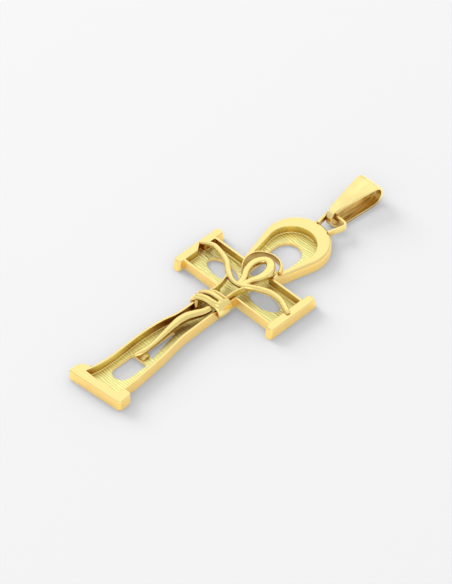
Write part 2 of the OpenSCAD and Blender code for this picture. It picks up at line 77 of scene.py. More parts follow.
class PENDANT_PG_frame(bpy.types.PropertyGroup):
    """Sizes of the cast frame and its recess."""

    arm_reach: length("Arm reach", "Middle of the crossing to the outer face of each end cap", 8.15)
    arm_w: length("Crossbar width", "Width of the crossbar", 5.4)
    frame_t: length("Frame height", "Height from the back to the polished rim", 1.5)
    wall_w: length("Wall", "Thickness of the walls round the recess", 0.3)
    plate_t: length("Plate", "Thickness of the back plate", 0.45)
    corner_r: length("Hollow corner", "Radius between the shaft and the crossbar", 0.9)
    cap_len: length("Cap length", "Length of an end cap, across the crossbar", 7.8)
    cap_w: length("Cap width", "Width of an end cap", 1.1)
    cap_rise: length("Cap rise", "How far the caps sit above the crossbar's middle line", 0.3)
    notch_w: length("Notch depth", "Depth of the notch in the left cap under the arm wire's end", 0.8)
    notch_len: length("Notch length", "Length of that notch, along the cap", 1.4)
    cap_corner_r: length("Cap corner", "Radius of the corners of the caps, seen from the front", 0.42)
    shaft_len: length("Shaft length", "Middle of the crossing to the middle of the foot bar", 22.65)
    waist_w: length("Waist", "Width of the shaft at the waist", 3.15)
    flare_w: length("Flare", "Width that the shaft flares to at the foot", 5.5)
    foot_len: length("Foot length", "Length of the foot bar", 7.8)
    foot_w: length("Foot width", "Width of the foot bar", 2.1)
    foot_round_r: length("Foot rounding", "Radius of the large corner at the top of its left end", 1.35)
    foot_corner_r: length("Foot corner", "Radius of the corners of the foot bar's right end", 0.5)
    foot_left_r: length("Foot left corner", "Radius of the corner at the bottom of its left end", 0.25)
    foot_face_w: length("Foot face", "Width of the polished face below the recess", 1.12)
    foot_turn: angle("Foot turn", "Turn of the foot bar in its plane", 5)
    loop_r: length("Loop radius", "Outer radius of the loop", 4.15)
    loop_rise: length("Loop rise", "Middle of the crossing to the middle of the loop", 8.95)
    neck_w: length("Neck", "Width of the loop where it meets the crossbar", 5.2)
    rim_top_w: length("Rim at the top", "Width of the polished rim at the top of the loop", 1.95)
    rim_side_w: length("Rim at the sides", "Width of the polished rim at the loop's sides", 1.13)
    rim_neck_w: length("Rim at the neck", "Width of the polished rim at the neck", 0.7)
    rim_edge_r: length("Rim edge", "Radius of the rounded outer edge of the rim", 0.45)
    edge_r: length("Edge", "Roundness of the polished edges", 0.06)
    cap_edge_r: length("Cap edge", "Roundness of the upper edges of the caps and the foot bar", 0.16)
    cap_slope: length("Cap slope", "How much shorter the top of a cap is at each end", 0.28)
    floor_r: length("Floor corner", "Hollow roundness where the walls meet the back plate", 0.14)
    lip_r: length("Lip", "Roundness of the plate's edge at the holes", 0.12)


class PENDANT_PG_holes(bpy.types.PropertyGroup):
    """Sizes of the holes in the back plate."""

    loop_hole_r: length("Loop hole radius", "Radius of the loop's hole at its top", 1.8)
    loop_hole_land: length("Loop hole land", "Plate left above the loop's hole", 2)
    loop_hole_len: length("Loop hole height", "Height of the loop's hole", 4.6)
    head_hole_r: length("Head hole", "Half width of the opening behind the head", 0.75)
    arm_hole_w: length("Arm hole width", "Width of the oval hole in each arm", 2.45)
    arm_hole_bow: length("Arm hole bow", "Radius of the long sides of each arm's hole", 3.6)
    arm_hole_end_r: length("Arm hole end", "Radius of the outer end of each arm's hole", 0.8)
    arm_hole_x: length("Arm hole place", "Middle of the crossing to the middle of each arm's hole", 3.5)
    arm_hole_rise: length("Arm hole rise", "How far the arm holes sit above the middle line", 0.15)
    left_tip: length("Left hole's tip", "Reach of the left arm's hole towards the figure", 3)
    right_tip: length("Right hole's tip", "Reach of the right arm's hole towards the figure", 2.4)
    hole_corner_r: length("Hole corner", "Radius of the square corners of the lower hole", 0.38)
    low_hole_land: length("Low hole land", "Plate left between the foot bar and the lower hole", 2.1)
    low_hole_shift: length("Low hole shift", "How far the lower hole sits to the right", 0.06)
    low_hole_w: length("Low hole width", "Width of the lower hole of the shaft", 2.35)
    low_hole_len: length("Low hole height", "Height of the lower hole of the shaft", 3.95)
    slim_hole_len: length("Slim hole height", "Length of the slim hole beside the leg", 4.6)
    slim_hole_w: length("Slim hole width", "Width of the slim hole at its lower end", 1.35)
    slim_hole_x: length("Slim hole place", "How far the slim hole sits to the right", 0.27)
    bridge_w: length("Bridge", "Width between the lower hole and the slim hole", 1.1)


class PENDANT_PG_figure(bpy.types.PropertyGroup):
    """Sizes of the wire figure."""

    figure_top: length("Figure height", "Height of the figure's middle above the back", 2.3)
    arm_wire_d: length("Arm wire", "Thickness of the arm wire where it is thickest", 0.86)
    head_band_w: length("Head band", "Width of the band that the head ring is bent from", 1)
    head_band_h: length("Head band height", "Height of the head ring's band", 0.8)
    head_len: length("Head length", "Length of the head and neck, from the chest", 4.9)
    halo_t: length("Halo", "Thickness of the halo band at its top", 0.24)
    halo_h: length("Halo height", "Height of the halo band", 1.05)
    rib_t: length("Rib", "Thickness of the torso ribs", 0.32)
    rib_h: length("Rib height", "Height of the torso ribs", 0.95)
    strand_w: length("Strand", "Width of a strand of the waist wrap", 0.74)
    strand_t: length("Strand thickness", "Thickness of a strand of the waist wrap", 0.5)
    leg_w: length("Leg", "Width of the leg at the thigh", 1.1)
    leg_h: length("Leg height", "Height of the leg at the thigh", 1.15)
    tuck_d: length("Tucked end", "Thickness of the wrap's end that is tucked in beside the leg", 0.6)
    footrest_len: length("Footrest length", "Length of the footrest, across the shaft", 1.1)
    footrest_w: length("Footrest width", "Width of the footrest, along the shaft", 0.95)
    footrest_h: length("Footrest height", "Height of the footrest above the plate", 0.42)
    fuse: length("Solder grain", "Grain of the mesh that blends the soldered joints", 0.045)


class PENDANT_PG_bail(bpy.types.PropertyGroup):
    """Sizes of the link and the bail."""

    link_reach: length("Link reach", "Reach of the link beyond the loop", 2.3)
    link_w: length("Link width", "Width of the link at its far bar", 3.25)
    link_base_w: length("Link base", "Width of the link where it is soldered on", 2.15)
    link_t: length("Link thickness", "Thickness of the link's flat band", 0.36)
    link_h: length("Link height", "Height of the link's flat band", 0.76)
    link_shift: length("Link shift", "How far the link sits to the right of the middle line", 0.83)
    link_turn: angle("Link turn", "Turn of the link in its plane", 3.5)
    link_raise: length("Link raise", "How far the link's bar sits above the middle of the eye", 0.18)
    bail_len: length("Bail length", "Length of the bail", 8)
    bail_fold_w: length("Fold width", "Width of the ribbon at the bail's fold", 3.05)
    bail_tip_w: length("Tip width", "Width of the ribbon where it turns inside the link", 0.8)
    bail_front_w: length("Front width", "Width of the front of the ribbon above the eye", 1)
    bail_back_w: length("Back width", "Width of the back of the ribbon below the eye", 1.9)
    bail_swing: length("Swing", "How far the ribbon swings to the left past the link's bar", 0.45)
    bail_t: length("Ribbon thickness", "Thickness of the ribbon", 0.34)
    bail_fold_h: length("Fold height", "Height of the bail at its fold", 2.9)
    eye_gap: length("Eye gap", "Clearance round the link inside the bail's eye", 0.13)
    edge_r: length("Edge", "Roundness of the edges of the band and the ribbon", 0.08)


class PENDANT_PG_finish(bpy.types.PropertyGroup):
    """Colours of the finishes: lit and shaded copies of one gold. The tops are paler and yellower, partly
    painted highlight; the outer walls a deeper orange, partly painted shade; the recess lighter and
    greener, partly painted light against its shade; the inside of the bail a darker brown, painted shade.
    """

    # Tops: paler and yellower than the walls, partly painted highlight
    polish: colour("Polished gold", "Rim, caps and foot bar", (0.96, 0.76, 0.31))
    # Outer walls: a deeper, more saturated orange, partly painted shade
    satin: colour("Satin gold", "Outer walls", (1.0, 0.68, 0.215))
    # Recess: lighter and greener than the walls, partly painted light against the recess's shade
    stroked: colour("Brushed gold", "Recess with parallel strokes", (1.0, 0.89, 0.37))
    wire: colour("Wire gold", "Figure, link and walls of the recess", (0.98, 0.79, 0.3))
    ribbon: colour("Ribbon gold", "Outside of the bail's ribbon", (0.98, 0.8, 0.34))
    # Inside of the ribbon: darker brown than its outside, painted shade of the fold
    inside: colour("Inner gold", "Inside of the bail's ribbon", (0.62, 0.42, 0.13))
    floor: colour("Floor", "Pale studio floor", (0.56, 0.56, 0.56))


class PENDANT_PG_stage(bpy.types.PropertyGroup):
    """Camera and stage."""

    distance: length("Camera distance", "Camera to the pendant", 400)
    focal: length("Focal length", "Focal length for a 36 mm sensor", 212.05)
    elevation: angle("Elevation", "Angle of the camera above the floor", 46.8)
    heading: angle("Heading", "Turn of the camera from the crossbar's direction", 44.5)
    floor_size: length("Floor size", "Side of the floor", 3000)


# Sides of the shaft.
# Columns: share of the way down, share of the flare on the left, share of the flare on the right
SHAFT_ROWS = [
    (0.06, 0.00, 0.00),
    (0.30, 0.00, 0.00),
    (0.40, 0.06, 0.04),
    (0.49, 0.42, 0.10),
    (0.58, 0.58, 0.36),
    (0.66, 0.60, 0.61),
    (0.75, 0.52, 0.79),
    (0.84, 0.46, 0.97),
    (0.93, 0.58, 1.06),
    (1.00, 0.92, 1.12),
]

# Arm wire. Columns: x / arm_reach, y / half of arm_w, z / figure_top, thickness / arm_wire_d
ARM_ROWS = [
    (-0.975, 0.26, 0.60, 0.55),
    (-0.80, 0.50, 0.69, 0.74),
    (-0.66, 0.48, 0.73, 0.80),
    (-0.40, 0.21, 0.80, 0.88),
    (-0.18, -0.28, 0.83, 1.00),
    (-0.01, -0.48, 0.86, 0.76),
    (0.115, -0.41, 0.85, 0.78),
    (0.28, -0.06, 0.81, 0.92),
    (0.455, 0.20, 0.77, 0.94),
    (0.575, 0.26, 0.75, 0.94),
    (0.69, 0.24, 0.72, 0.94),
    (0.86, 0.06, 0.66, 0.90),
    (0.93, -0.03, 0.60, 0.74),
]

# Head ring. Columns: x / head_len, y / head_len above the chest, z / figure_top, width / head_band_w
HEAD_ROWS = [
    (0.12, 0.00, 0.84, 0.78),
    (0.07, 0.20, 0.86, 0.84),
    (-0.05, 0.40, 0.88, 0.84),
    (-0.115, 0.64, 0.90, 0.84),
    (-0.07, 0.85, 0.91, 0.88),
    (0.05, 0.98, 0.92, 0.94),
    (0.20, 0.96, 0.92, 1.06),
    (0.32, 0.82, 0.91, 1.14),
    (0.36, 0.64, 0.90, 1.10),
    (0.33, 0.44, 0.88, 0.96),
    (0.25, 0.25, 0.86, 0.84),
    (0.21, -0.02, 0.82, 0.72),
]

# Halo band. Columns: x / head_len, y / head_len above the chest, z / figure_top, thickness / halo_t
HALO_ROWS = [
    (-0.14, 0.34, 0.66, 0.70),
    (-0.28, 0.50, 0.74, 1.00),
    (-0.36, 0.70, 0.78, 1.00),
    (-0.35, 0.91, 0.79, 1.00),
    (-0.27, 1.05, 0.80, 1.00),
    (-0.12, 1.15, 0.80, 1.00),
    (0.06, 1.205, 0.80, 1.00),
    (0.26, 1.195, 0.78, 1.20),
    (0.42, 1.11, 0.74, 1.80),
    (0.51, 0.96, 0.66, 2.20),
]

# Torso ribs. Columns: x of the left rib / half of waist_w, x of the right rib / half of waist_w,
# share of the way from the chest to the wrap, z / figure_top
RIB_ROWS = [
    (-0.92, 0.90, -0.10, 0.74),
    (-0.74, 0.74, 0.25, 0.74),
    (-0.64, 0.68, 0.60, 0.73),
    (-0.60, 0.68, 1.05, 0.72),
]

# Strands of the waist wrap over the shaft. Columns: x / half of waist_w, z / figure_top
STRAND_ROWS = [
    (-1.12, 0.22),
    (-1.28, 0.45),
    (-1.18, 0.74),
    (-0.80, 0.92),
    (0.00, 1.00),
    (0.60, 0.97),
    (1.00, 0.82),
    (1.16, 0.55),
    (1.12, 0.31),
]

# Where the strands lie. Columns: y / shaft_len at the left end, in the middle, at the right end,
# width / strand_w, height / figure_top
WRAP_ROWS = [
    (-0.222, -0.177, -0.167, 0.64, 0.94),
    (-0.226, -0.203, -0.196, 0.94, 1.00),
    (-0.258, -0.240, -0.224, 0.80, 0.98),
    (-0.274, -0.254, -0.243, 0.66, 0.90),
]

# Fan where the strands run together at the right.
# Columns: x / half of waist_w, y / shaft_len, z / figure_top, width / strand_w
FAN_ROWS = [
    (0.60, -0.206, 0.90, 1.00),
    (0.86, -0.206, 0.85, 2.20),
    (1.05, -0.206, 0.72, 2.70),
    (1.14, -0.206, 0.52, 2.75),
    (1.12, -0.206, 0.28, 2.70),
]

# Leg and foot. Columns: x / half of waist_w, y / shaft_len, z / figure_top, width / leg_w, height / leg_h
LEG_ROWS = [
    (0.42, -0.262, 0.68, 0.80, 0.80),
    (0.34, -0.300, 0.66, 0.84, 0.90),
    (0.06, -0.345, 0.65, 0.95, 0.98),
    (-0.18, -0.385, 0.64, 1.00, 1.00),
    (-0.27, -0.430, 0.62, 1.00, 1.00),
    (-0.25, -0.480, 0.59, 0.92, 0.96),
    (-0.18, -0.540, 0.55, 0.80, 0.86),
    (-0.10, -0.600, 0.51, 0.68, 0.74),
    (-0.06, -0.648, 0.49, 0.60, 0.66),
    (-0.10, -0.680, 0.46, 0.72, 0.66),
    (-0.22, -0.708, 0.42, 0.76, 0.56),
    (-0.42, -0.742, 0.38, 0.40, 0.34),
]

# End of the wrap's wire, tucked in beside the leg.
# Columns: x / half of waist_w, y / shaft_len, z / figure_top, thickness / tuck_d
TUCK_ROWS = [
    (-0.84, -0.256, 0.78, 0.80),
    (-0.78, -0.274, 0.62, 1.00),
    (-0.62, -0.288, 0.44, 1.00),
    (-0.44, -0.292, 0.24, 0.90),
]

# Shares that place the figure on the crossbar and the shaft
CHEST_SHARE = -0.2
RIB_SHARE = -0.25
WRAP_SHARE = -0.17

UP = Vector((0, 0, 1))
ALONG_X = Vector((1, 0, 0))
ALONG_Y = Vector((0, 1, 0))
QUARTER = math.pi / 2
# How far one piece runs into the one that it is soldered to, and how far a cutter runs past a face
BITE = 0.12
CLEAR = 0.6
# Points closer than SAME are one point, and points closer than WELD are joined after a cut
SAME = 1e-4
WELD = 1e-3
# Steps of a full circle, a corner, a small rounded edge, a cap's edge and a straight stretch of the ribbon
ROUND_STEPS = 64
CORNER_STEPS = 6
EDGE_STEPS = 3
CAP_EDGE_STEPS = 4
RIBBON_STEPS = 8
# Steps between two rows of a table, and sides of a wire
SHAFT_STEPS = 4
PATH_STEPS = 6
WIRE_SIDES = 24
# Size of a wire's end and of a strand's end, and half of the fan's thickness / strand_t
WIRE_END = 0.6
STRAND_END = 0.7
FAN_HALF = 0.68
# Squareness of a swept band: 1 is an ellipse
HEAD_SQUARE = 0.7
HALO_SQUARE = 0.5
RIB_SQUARE = 0.6
FAN_SQUARE = 0.75
# Turns between faces, in degrees: flat, rounded by the last bevel, sharp in the shading of what was cut,
# and sharp on a band and a wire
FLAT_TURN = 0.6
BEVEL_TURN = 40
CUT_TURN = 50
SHARP_TURN = 60
# Tilts of a face's normal, by its Z: upright, still a wall, facing up, level
UPRIGHT_Z = 0.1
WALL_Z = 0.3
TOP_Z = 0.5
LEVEL_Z = 0.9


def millimetres(context):
    """The groups' lengths in millimetres and turns in radians, and the places worked out from them."""
    s = SimpleNamespace()
    scene = context.scene
    for group in (scene.pendant_frame, scene.pendant_holes, scene.pendant_figure, scene.pendant_bail):
        for name, prop in group.bl_rna.properties.items():
            if prop.type == "FLOAT":
                value = getattr(group, name)
                key = "band_edge_r" if name == "edge_r" and group == scene.pendant_bail else name
                setattr(s, key, value / MM if prop.unit == "LENGTH" else value)
    s.arm_half = s.arm_w / 2
    s.waist_half = s.waist_w / 2
    s.flare_half = s.flare_w / 2
    s.neck_half = s.neck_w / 2
    s.loop_top = s.loop_rise + s.loop_r
    s.inner_r = s.loop_r - s.rim_side_w
    s.inner_y = s.loop_top - s.rim_top_w - s.inner_r
    s.eye_in_r = math.hypot(s.link_t, s.link_h) / 2 + s.link_raise + s.eye_gap
    s.eye_r = s.eye_in_r + s.bail_t
    s.fold_r = s.bail_fold_h / 2
    s.eye_y = s.loop_top + s.link_reach - s.link_t / 2
    s.bail_top = s.eye_y - s.eye_r + s.bail_len
    s.fold_y = s.bail_top - s.fold_r
    s.eye_left = s.link_shift - s.link_w / 2 + s.link_t + s.eye_gap
    s.foot_place = Matrix.Translation((0, -s.shaft_len, 0)) @ Matrix.Rotation(s.foot_turn, 4, "Z")
    drop = (s.foot_len / 2 - s.foot_left_r) * math.sin(s.foot_turn)
    drop += (s.foot_w / 2 - s.foot_left_r) * math.cos(s.foot_turn) + s.foot_left_r
    s.origin_y = (s.bail_top - s.shaft_len - drop) / 2
    s.foot_face_y = -s.shaft_len + s.foot_face_w - s.foot_w / 2
    s.low_hole_y = s.foot_face_y + s.low_hole_land
    s.bridge_y = s.low_hole_y + s.low_hole_len
    s.chest_y = CHEST_SHARE * s.arm_w
    s.rib_y = RIB_SHARE * s.arm_w
    s.wrap_y = WRAP_SHARE * s.shaft_len
    return s


def smooth(rows, steps):
    """Points of a smooth curve through a table's rows."""
    points = []
    last = len(rows) - 1
    for i in range(last):
        a, b, c, d = (Vector(rows[max(0, min(last, i + k))]) for k in (-1, 0, 1, 2))
        for k in range(steps):
            t = k / steps
            bend = (c - a) * t + (2 * a - 5 * b + 4 * c - d) * t**2 + (3 * b - a - 3 * c + d) * t**3
            points.append(0.5 * (2 * b + bend))
    points.append(Vector(rows[-1]))
    return points


def circle_touch(half, from_y, r, centre_y):
    """Where a line from a point on one side touches a circle on the middle line."""
    rise = centre_y - from_y
    reach = math.hypot(half, rise)
    heading = math.atan2(rise, -half) - math.asin(r / reach)
    run = math.sqrt(reach**2 - r**2)
    return Vector((half + run * math.cos(heading), from_y + run * math.sin(heading), 0))


def only(kind, geom):
    """The elements of one kind in what an operator returns."""
    return [g for g in geom if isinstance(g, kind)]


def everything(bm):
    """All elements of a bmesh."""
    return bm.verts[:] + bm.edges[:] + bm.faces[:]


def line_to(bm, vert, point):
    """Draws one straight edge on and returns its far vertex."""
    tip = bmesh.ops.extrude_vert_indiv(bm, verts=[vert])["verts"][0]
    tip.co = point
    return tip


def arc_to(bm, vert, centre, turn, steps, axis=UP):
    """Draws an arc on about a centre and returns its last vertex."""
    spun = bmesh.ops.spin(bm, geom=[vert], cent=centre, axis=axis, angle=turn, steps=steps,
                          use_duplicate=False)
    return only(BMVert, spun["geom_last"])[0]


def draw(bm, z, start, *moves, back=False):
    """Draws a closed outline at a height. A move is a point, or an arc's centre, turn and steps.

    The closing edge runs to the start, or back from it. That settles how flat faces are parted later on.
    """
    first = vert = bm.verts.new((*start, z))
    for x, y, *arc in moves:
        vert = arc_to(bm, vert, (x, y, z), *arc) if arc else line_to(bm, vert, (x, y, z))
    if (vert.co - first.co).length > SAME:
        bm.edges.new((first, vert) if back else (vert, first))


def prism(base, height, *outline, back=False):
    """A solid raised from a closed outline, given as the start and the moves that draw it."""
    bm = bmesh.new()
    draw(bm, base, *outline, back=back)
    bmesh.ops.remove_doubles(bm, verts=bm.verts[:], dist=SAME)
    face = bmesh.ops.contextual_create(bm, geom=bm.edges[:])["faces"]
    raised = bmesh.ops.extrude_face_region(bm, geom=face)["geom"]
    bmesh.ops.translate(bm, vec=(0, 0, height), verts=only(BMVert, raised))
    bmesh.ops.recalc_face_normals(bm, faces=bm.faces[:])
    return bm


def bevel(bm, edges, offset, segments):
    """Rounds the edges."""
    bmesh.ops.bevel(bm, geom=edges, offset=offset, offset_type="OFFSET", segments=segments, profile=0.5,
                    affect="EDGES", material=-1, clamp_overlap=True, loop_slide=True)


def upright_edges(bm):
    """The edges that run along Z."""
    return [e for e in bm.edges if (e.verts[0].co.xy - e.verts[1].co.xy).length < SAME]


def level_edges(bm, z):
    """The edges that lie at a height."""
    return [e for e in bm.edges if all(abs(v.co.z - z) < SAME for v in e.verts)]


def box_solid(bm, size, centre):
    """A block, by its size and the middle of its base."""
    place = Matrix.Translation(Vector(centre) + Vector((0, 0, size[2] / 2)))
    bmesh.ops.create_cube(bm, size=1, matrix=place @ Matrix.Diagonal((*size, 1)))


def opened(obj):
    """A bmesh of an object's mesh."""
    bm = bmesh.new()
    bm.from_mesh(obj.data)
    return bm


def write_back(bm, mesh):
    """Writes a bmesh to a mesh and frees it."""
    bm.to_mesh(mesh)
    bm.free()


def new_piece(name, bm, *materials):
    """Makes an object of a bmesh."""
    mesh = bpy.data.meshes.new(name)
    write_back(bm, mesh)
    obj = bpy.data.objects.new(name, mesh)
    bpy.context.scene.collection.objects.link(obj)
    for material in materials:
        mesh.materials.append(material)
    return obj


def apply_modifiers(obj):
    """Turns what the modifiers make into the object's own mesh."""
    bpy.context.view_layer.update()
    graph = bpy.context.evaluated_depsgraph_get()
    mesh = bpy.data.meshes.new_from_object(obj.evaluated_get(graph))
    obj.modifiers.clear()
    obj.data = mesh


def combine(obj, others, operation):
    """Joins solids to an object, or cuts them out of it."""
    for other in others:
        tool = obj.modifiers.new(operation.title(), "BOOLEAN")
        tool.operation = operation
        tool.solver = "EXACT"
        tool.material_mode = "TRANSFER"
        tool.object = other
        apply_modifiers(obj)
        bpy.data.objects.remove(other)


def tidy_planes(bm):
    """Takes out the edges that lie inside flat faces."""
    bmesh.ops.remove_doubles(bm, verts=bm.verts[:], dist=WELD)
    bmesh.ops.dissolve_limit(bm, angle_limit=math.radians(FLAT_TURN), verts=bm.verts[:], edges=bm.edges[:],
                             delimit={"MATERIAL", "SEAM"})


def middle_row(obj):
    """Middle of an object along Y, to a tenth of a millimetre."""
    rows = [v.co.y for v in obj.data.vertices]
    return round((min(rows) + max(rows)) / 2, 1)


def seam(bm, row):
    """Marks a seam across the faces at one height, so that a flat face round a hole stays in two parts."""
    cut = bmesh.ops.bisect_plane(bm, geom=everything(bm), plane_co=(0, row, 0), plane_no=ALONG_Y)
    for edge in only(BMEdge, cut["geom_cut"]):
        edge.seam = True


def finish_piece(obj, origin_y):
    mesh = obj.data
    mesh.transform(Matrix.Scale(MM, 4) @ Matrix.Translation((0, -origin_y, 0)))
    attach(obj, BODY)
    return obj


def shade(obj, degrees):
    """Smooth shading, apart from edges sharper than an angle."""
    mesh = obj.data
    mesh.polygons.foreach_set("use_smooth", [True] * len(mesh.polygons))
    mesh.set_sharp_from_angle(angle=math.radians(degrees))


def crisp(obj):
    """Smooth shading in which the large faces stay flat and only the rounded edges turn."""
    shade(obj, CUT_TURN)
    weights = obj.modifiers.new("Weights", "WEIGHTED_NORMAL")
    weights.mode = "FACE_AREA"
    weights.keep_sharp = True
    apply_modifiers(obj)


# Outlines of the frame


def drop_solid(name, r, centre_y, half, from_y, base, height, edge_r, material):
    """A circle that runs down in two straight tangents to a neck."""
    side = circle_touch(half, from_y, r, centre_y)
    turn = math.pi - 2 * math.atan2(side.y - centre_y, side.x)
    bm = prism(base, height, (half, from_y), side.xy, (0, centre_y, turn, ROUND_STEPS), (-half, from_y),
               back=True)
    if edge_r:
        bevel(bm, level_edges(bm, base + height), edge_r, CORNER_STEPS)
    return new_piece(name, bm, material)


def shaft_solid(s, name, inset, base, height, material):
    """The shaft between its two curved sides, each moved in by the same amount."""
    rows = smooth(SHAFT_ROWS, SHAFT_STEPS)
    flare = s.flare_half - s.waist_half
    left = [(inset - s.waist_half - flare * r[1], -s.shaft_len * r[0]) for r in rows]
    right = [(s.waist_half + flare * r[2] - inset, -s.shaft_len * r[0]) for r in reversed(rows)]
    bm = prism(base, height, *left, *right)
    if inset:
        on_face = s.foot_place @ Vector((0, s.foot_face_w - s.foot_w / 2, 0))
        upwards = s.foot_place.to_3x3() @ ALONG_Y
        cut = bmesh.ops.bisect_plane(bm, geom=everything(bm), plane_co=on_face, plane_no=upwards,
                                     clear_inner=True)
        bmesh.ops.holes_fill(bm, edges=only(BMEdge, cut["geom_cut"]))
        bmesh.ops.recalc_face_normals(bm, faces=bm.faces[:])
    return new_piece(name, bm, material)


def cap_solid(s, side, material):
    """One upright bar at the end of the crossbar."""
    bm = bmesh.new()
    box_solid(bm, (s.cap_w, s.cap_len, s.frame_t), (side * (s.arm_reach - s.cap_w / 2), s.cap_rise, 0))
    bevel(bm, upright_edges(bm), s.cap_corner_r, CORNER_STEPS)
    for vert in bm.verts:
        if vert.co.z > s.plate_t:
            vert.co.y -= math.copysign(s.cap_slope, vert.co.y - s.cap_rise)
    bevel(bm, level_edges(bm, s.frame_t), s.cap_edge_r, CAP_EDGE_STEPS)
    return new_piece("cap", bm, material)


def foot_solid(s, material):
    """The bar at the bottom of the shaft, with one large round corner at its left end."""
    bm = bmesh.new()
    box_solid(bm, (s.foot_len, s.foot_w, s.frame_t), (0, 0, 0))
    right_r = s.foot_corner_r
    corners = ((1, -1, right_r), (1, 1, right_r), (-1, -1, s.foot_left_r), (-1, 1, s.foot_round_r))
    for side, end, radius in corners:
        corner = Vector((side * s.foot_len, end * s.foot_w)) / 2
        near = [e for e in upright_edges(bm) if (e.verts[0].co.xy - corner).length < s.edge_r]
        bevel(bm, near, radius, 2 * CORNER_STEPS)
    bevel(bm, level_edges(bm, s.frame_t), s.cap_edge_r, CAP_EDGE_STEPS)
    bmesh.ops.transform(bm, matrix=s.foot_place, verts=bm.verts[:])
    return new_piece("foot", bm, material)


def notch_solid(s, base, height, material):
    """The three-cornered notch that runs from the recess into the left cap, below the arm wire's end."""
    x, y = s.cap_w - s.arm_reach, ARM_ROWS[0][1] * s.arm_half
    bm = prism(base, height, (x + BITE, y + BITE), (x - s.notch_w, y), (x + BITE, y + BITE - s.notch_len))
    return new_piece("notch", bm, material)


# Holes of the back plate, as solids that run through it


def new_hole(bm, x, y, material):
    """Moves a hole's solid to its place and makes it an object."""
    bmesh.ops.translate(bm, vec=(x, y, 0), verts=bm.verts[:])
    return new_piece("hole", bm, material)


def arm_hole(s, side, inner, base, height, material):
    """Round towards the cap, and narrowing towards the figure, where it may be cut short."""
    bow, steps = s.arm_hole_bow, ROUND_STEPS // 4
    sink = bow - s.arm_hole_w / 2
    inner = min(inner, math.sqrt(bow**2 - sink**2))
    end_x = math.sqrt((bow - s.arm_hole_end_r) ** 2 - sink**2)
    touch = math.atan2(-sink, end_x)
    low_y = sink - math.sqrt(bow**2 - inner**2)
    turn = touch - math.atan2(low_y - sink, -inner)
    bm = prism(base, height, (-inner, low_y), (0, sink, turn, steps), (end_x, 0, -2 * touch, steps),
               (0, -sink, turn, steps))
    if side < 0:
        bmesh.ops.scale(bm, vec=(-1, 1, 1), verts=bm.verts[:])
        bmesh.ops.recalc_face_normals(bm, faces=bm.faces[:])
    return new_hole(bm, side * s.arm_hole_x, s.arm_hole_rise, material)


def loop_hole(s, base, height, material):
    """The loop's hole: a half circle above, small round corners below."""
    top = s.loop_top - s.rim_top_w - s.loop_hole_land
    r = s.loop_hole_r
    corner = r / 3
    low = top - s.loop_hole_len
    bm = prism(base, height, (r, low + corner), (r, top - r), (0, top - r, math.pi, ROUND_STEPS // 2),
               (-r, low + corner), (corner - r, low + corner, QUARTER, CORNER_STEPS),
               (r - corner, low), (r - corner, low + corner, QUARTER, CORNER_STEPS))
    return new_hole(bm, 0, 0, material)


def head_hole(s, base, height, material):
    """The opening behind the head, which joins the loop's hole."""
    r = s.head_hole_r
    top = s.loop_rise - s.loop_hole_r
    bm = prism(base, height, (r, s.arm_half), (r, top), (-r, top), (-r, s.arm_half),
               (0, s.arm_half, math.pi, ROUND_STEPS // 3))
    return new_hole(bm, -r / 2, 0, material)


def low_hole(s, base, height, material):
    """The shaft's lower hole: a half circle below, square corners above."""
    r = s.low_hole_w / 2
    corner = s.hole_corner_r
    top = s.low_hole_len - r
    bm = prism(base, height, (-r, 0), (0, 0, math.pi, ROUND_STEPS // 2),
               (r, top - corner), (r - corner, top - corner, QUARTER, CORNER_STEPS),
               (corner - r, top), (corner - r, top - corner, QUARTER, CORNER_STEPS))
    return new_hole(bm, s.low_hole_shift, s.low_hole_y + r, material)


def slim_hole(s, base, height, material):
    """A slim hole that narrows up beside the leg."""
    low = s.bridge_y + s.bridge_w
    high = low + s.slim_hole_len
    half = s.slim_hole_w / 2
    bm = prism(base, height, (-half, low), (half, low), (half / 2 - half, high), (-half, high))
    bevel(bm, upright_edges(bm), BITE, CORNER_STEPS)
    return new_hole(bm, s.slim_hole_x, 0, material)


# Frame


def frame_body(s, material):
    """The frame's outline raised to a solid, with the corners between shaft and crossbar hollowed."""
    bm = bmesh.new()
    box_solid(bm, (2 * s.arm_reach - s.cap_w, s.arm_w, s.frame_t), (0, 0, 0))
    body = new_piece("frame", bm, material)
    solids = [
        shaft_solid(s, "shaft", 0, 0, s.frame_t, material),
        drop_solid("loop", s.loop_r, s.loop_rise, s.neck_half, s.arm_half - BITE, 0, s.frame_t,
                   s.rim_edge_r, material),
        cap_solid(s, -1, material),
        cap_solid(s, 1, material),
        foot_solid(s, material),
    ]
    combine(body, solids, "UNION")
    bm = opened(body)
    tidy_planes(bm)
    corners = [e for e in upright_edges(bm) if abs(abs(e.verts[0].co.x) - s.waist_half) < WELD
               and abs(e.verts[0].co.y + s.arm_half) < WELD]
    bevel(bm, corners, s.corner_r, CORNER_STEPS)
    write_back(bm, body.data)
    return body


def recess_solids(s, material):
    """What is sunk into the frame from its front."""
    depth = s.frame_t - s.plate_t + CLEAR
    bm = bmesh.new()
    box_solid(bm, (2 * (s.arm_reach - s.cap_w), s.arm_w - 2 * s.wall_w, depth), (0, 0, s.plate_t))
    bevel(bm, upright_edges(bm), BITE, CORNER_STEPS)
    return [
        new_piece("recess", bm, material),
        shaft_solid(s, "recess", s.wall_w, s.plate_t, depth, material),
        drop_solid("recess", s.inner_r, s.inner_y, s.neck_half - s.rim_neck_w, s.arm_half - s.wall_w - BITE,
                   s.plate_t, depth, 0, material),
        notch_solid(s, s.plate_t, depth, material),
    ]


def hole_solids(s, material):
    """What is cut through the back plate."""
    through = (-CLEAR, s.plate_t + 2 * CLEAR - BITE, material)
    return [
        arm_hole(s, -1, s.left_tip, *through),
        arm_hole(s, 1, s.right_tip, *through),
        loop_hole(s, *through),
        head_hole(s, *through),
        low_hole(s, *through),
        slim_hole(s, *through),
    ]


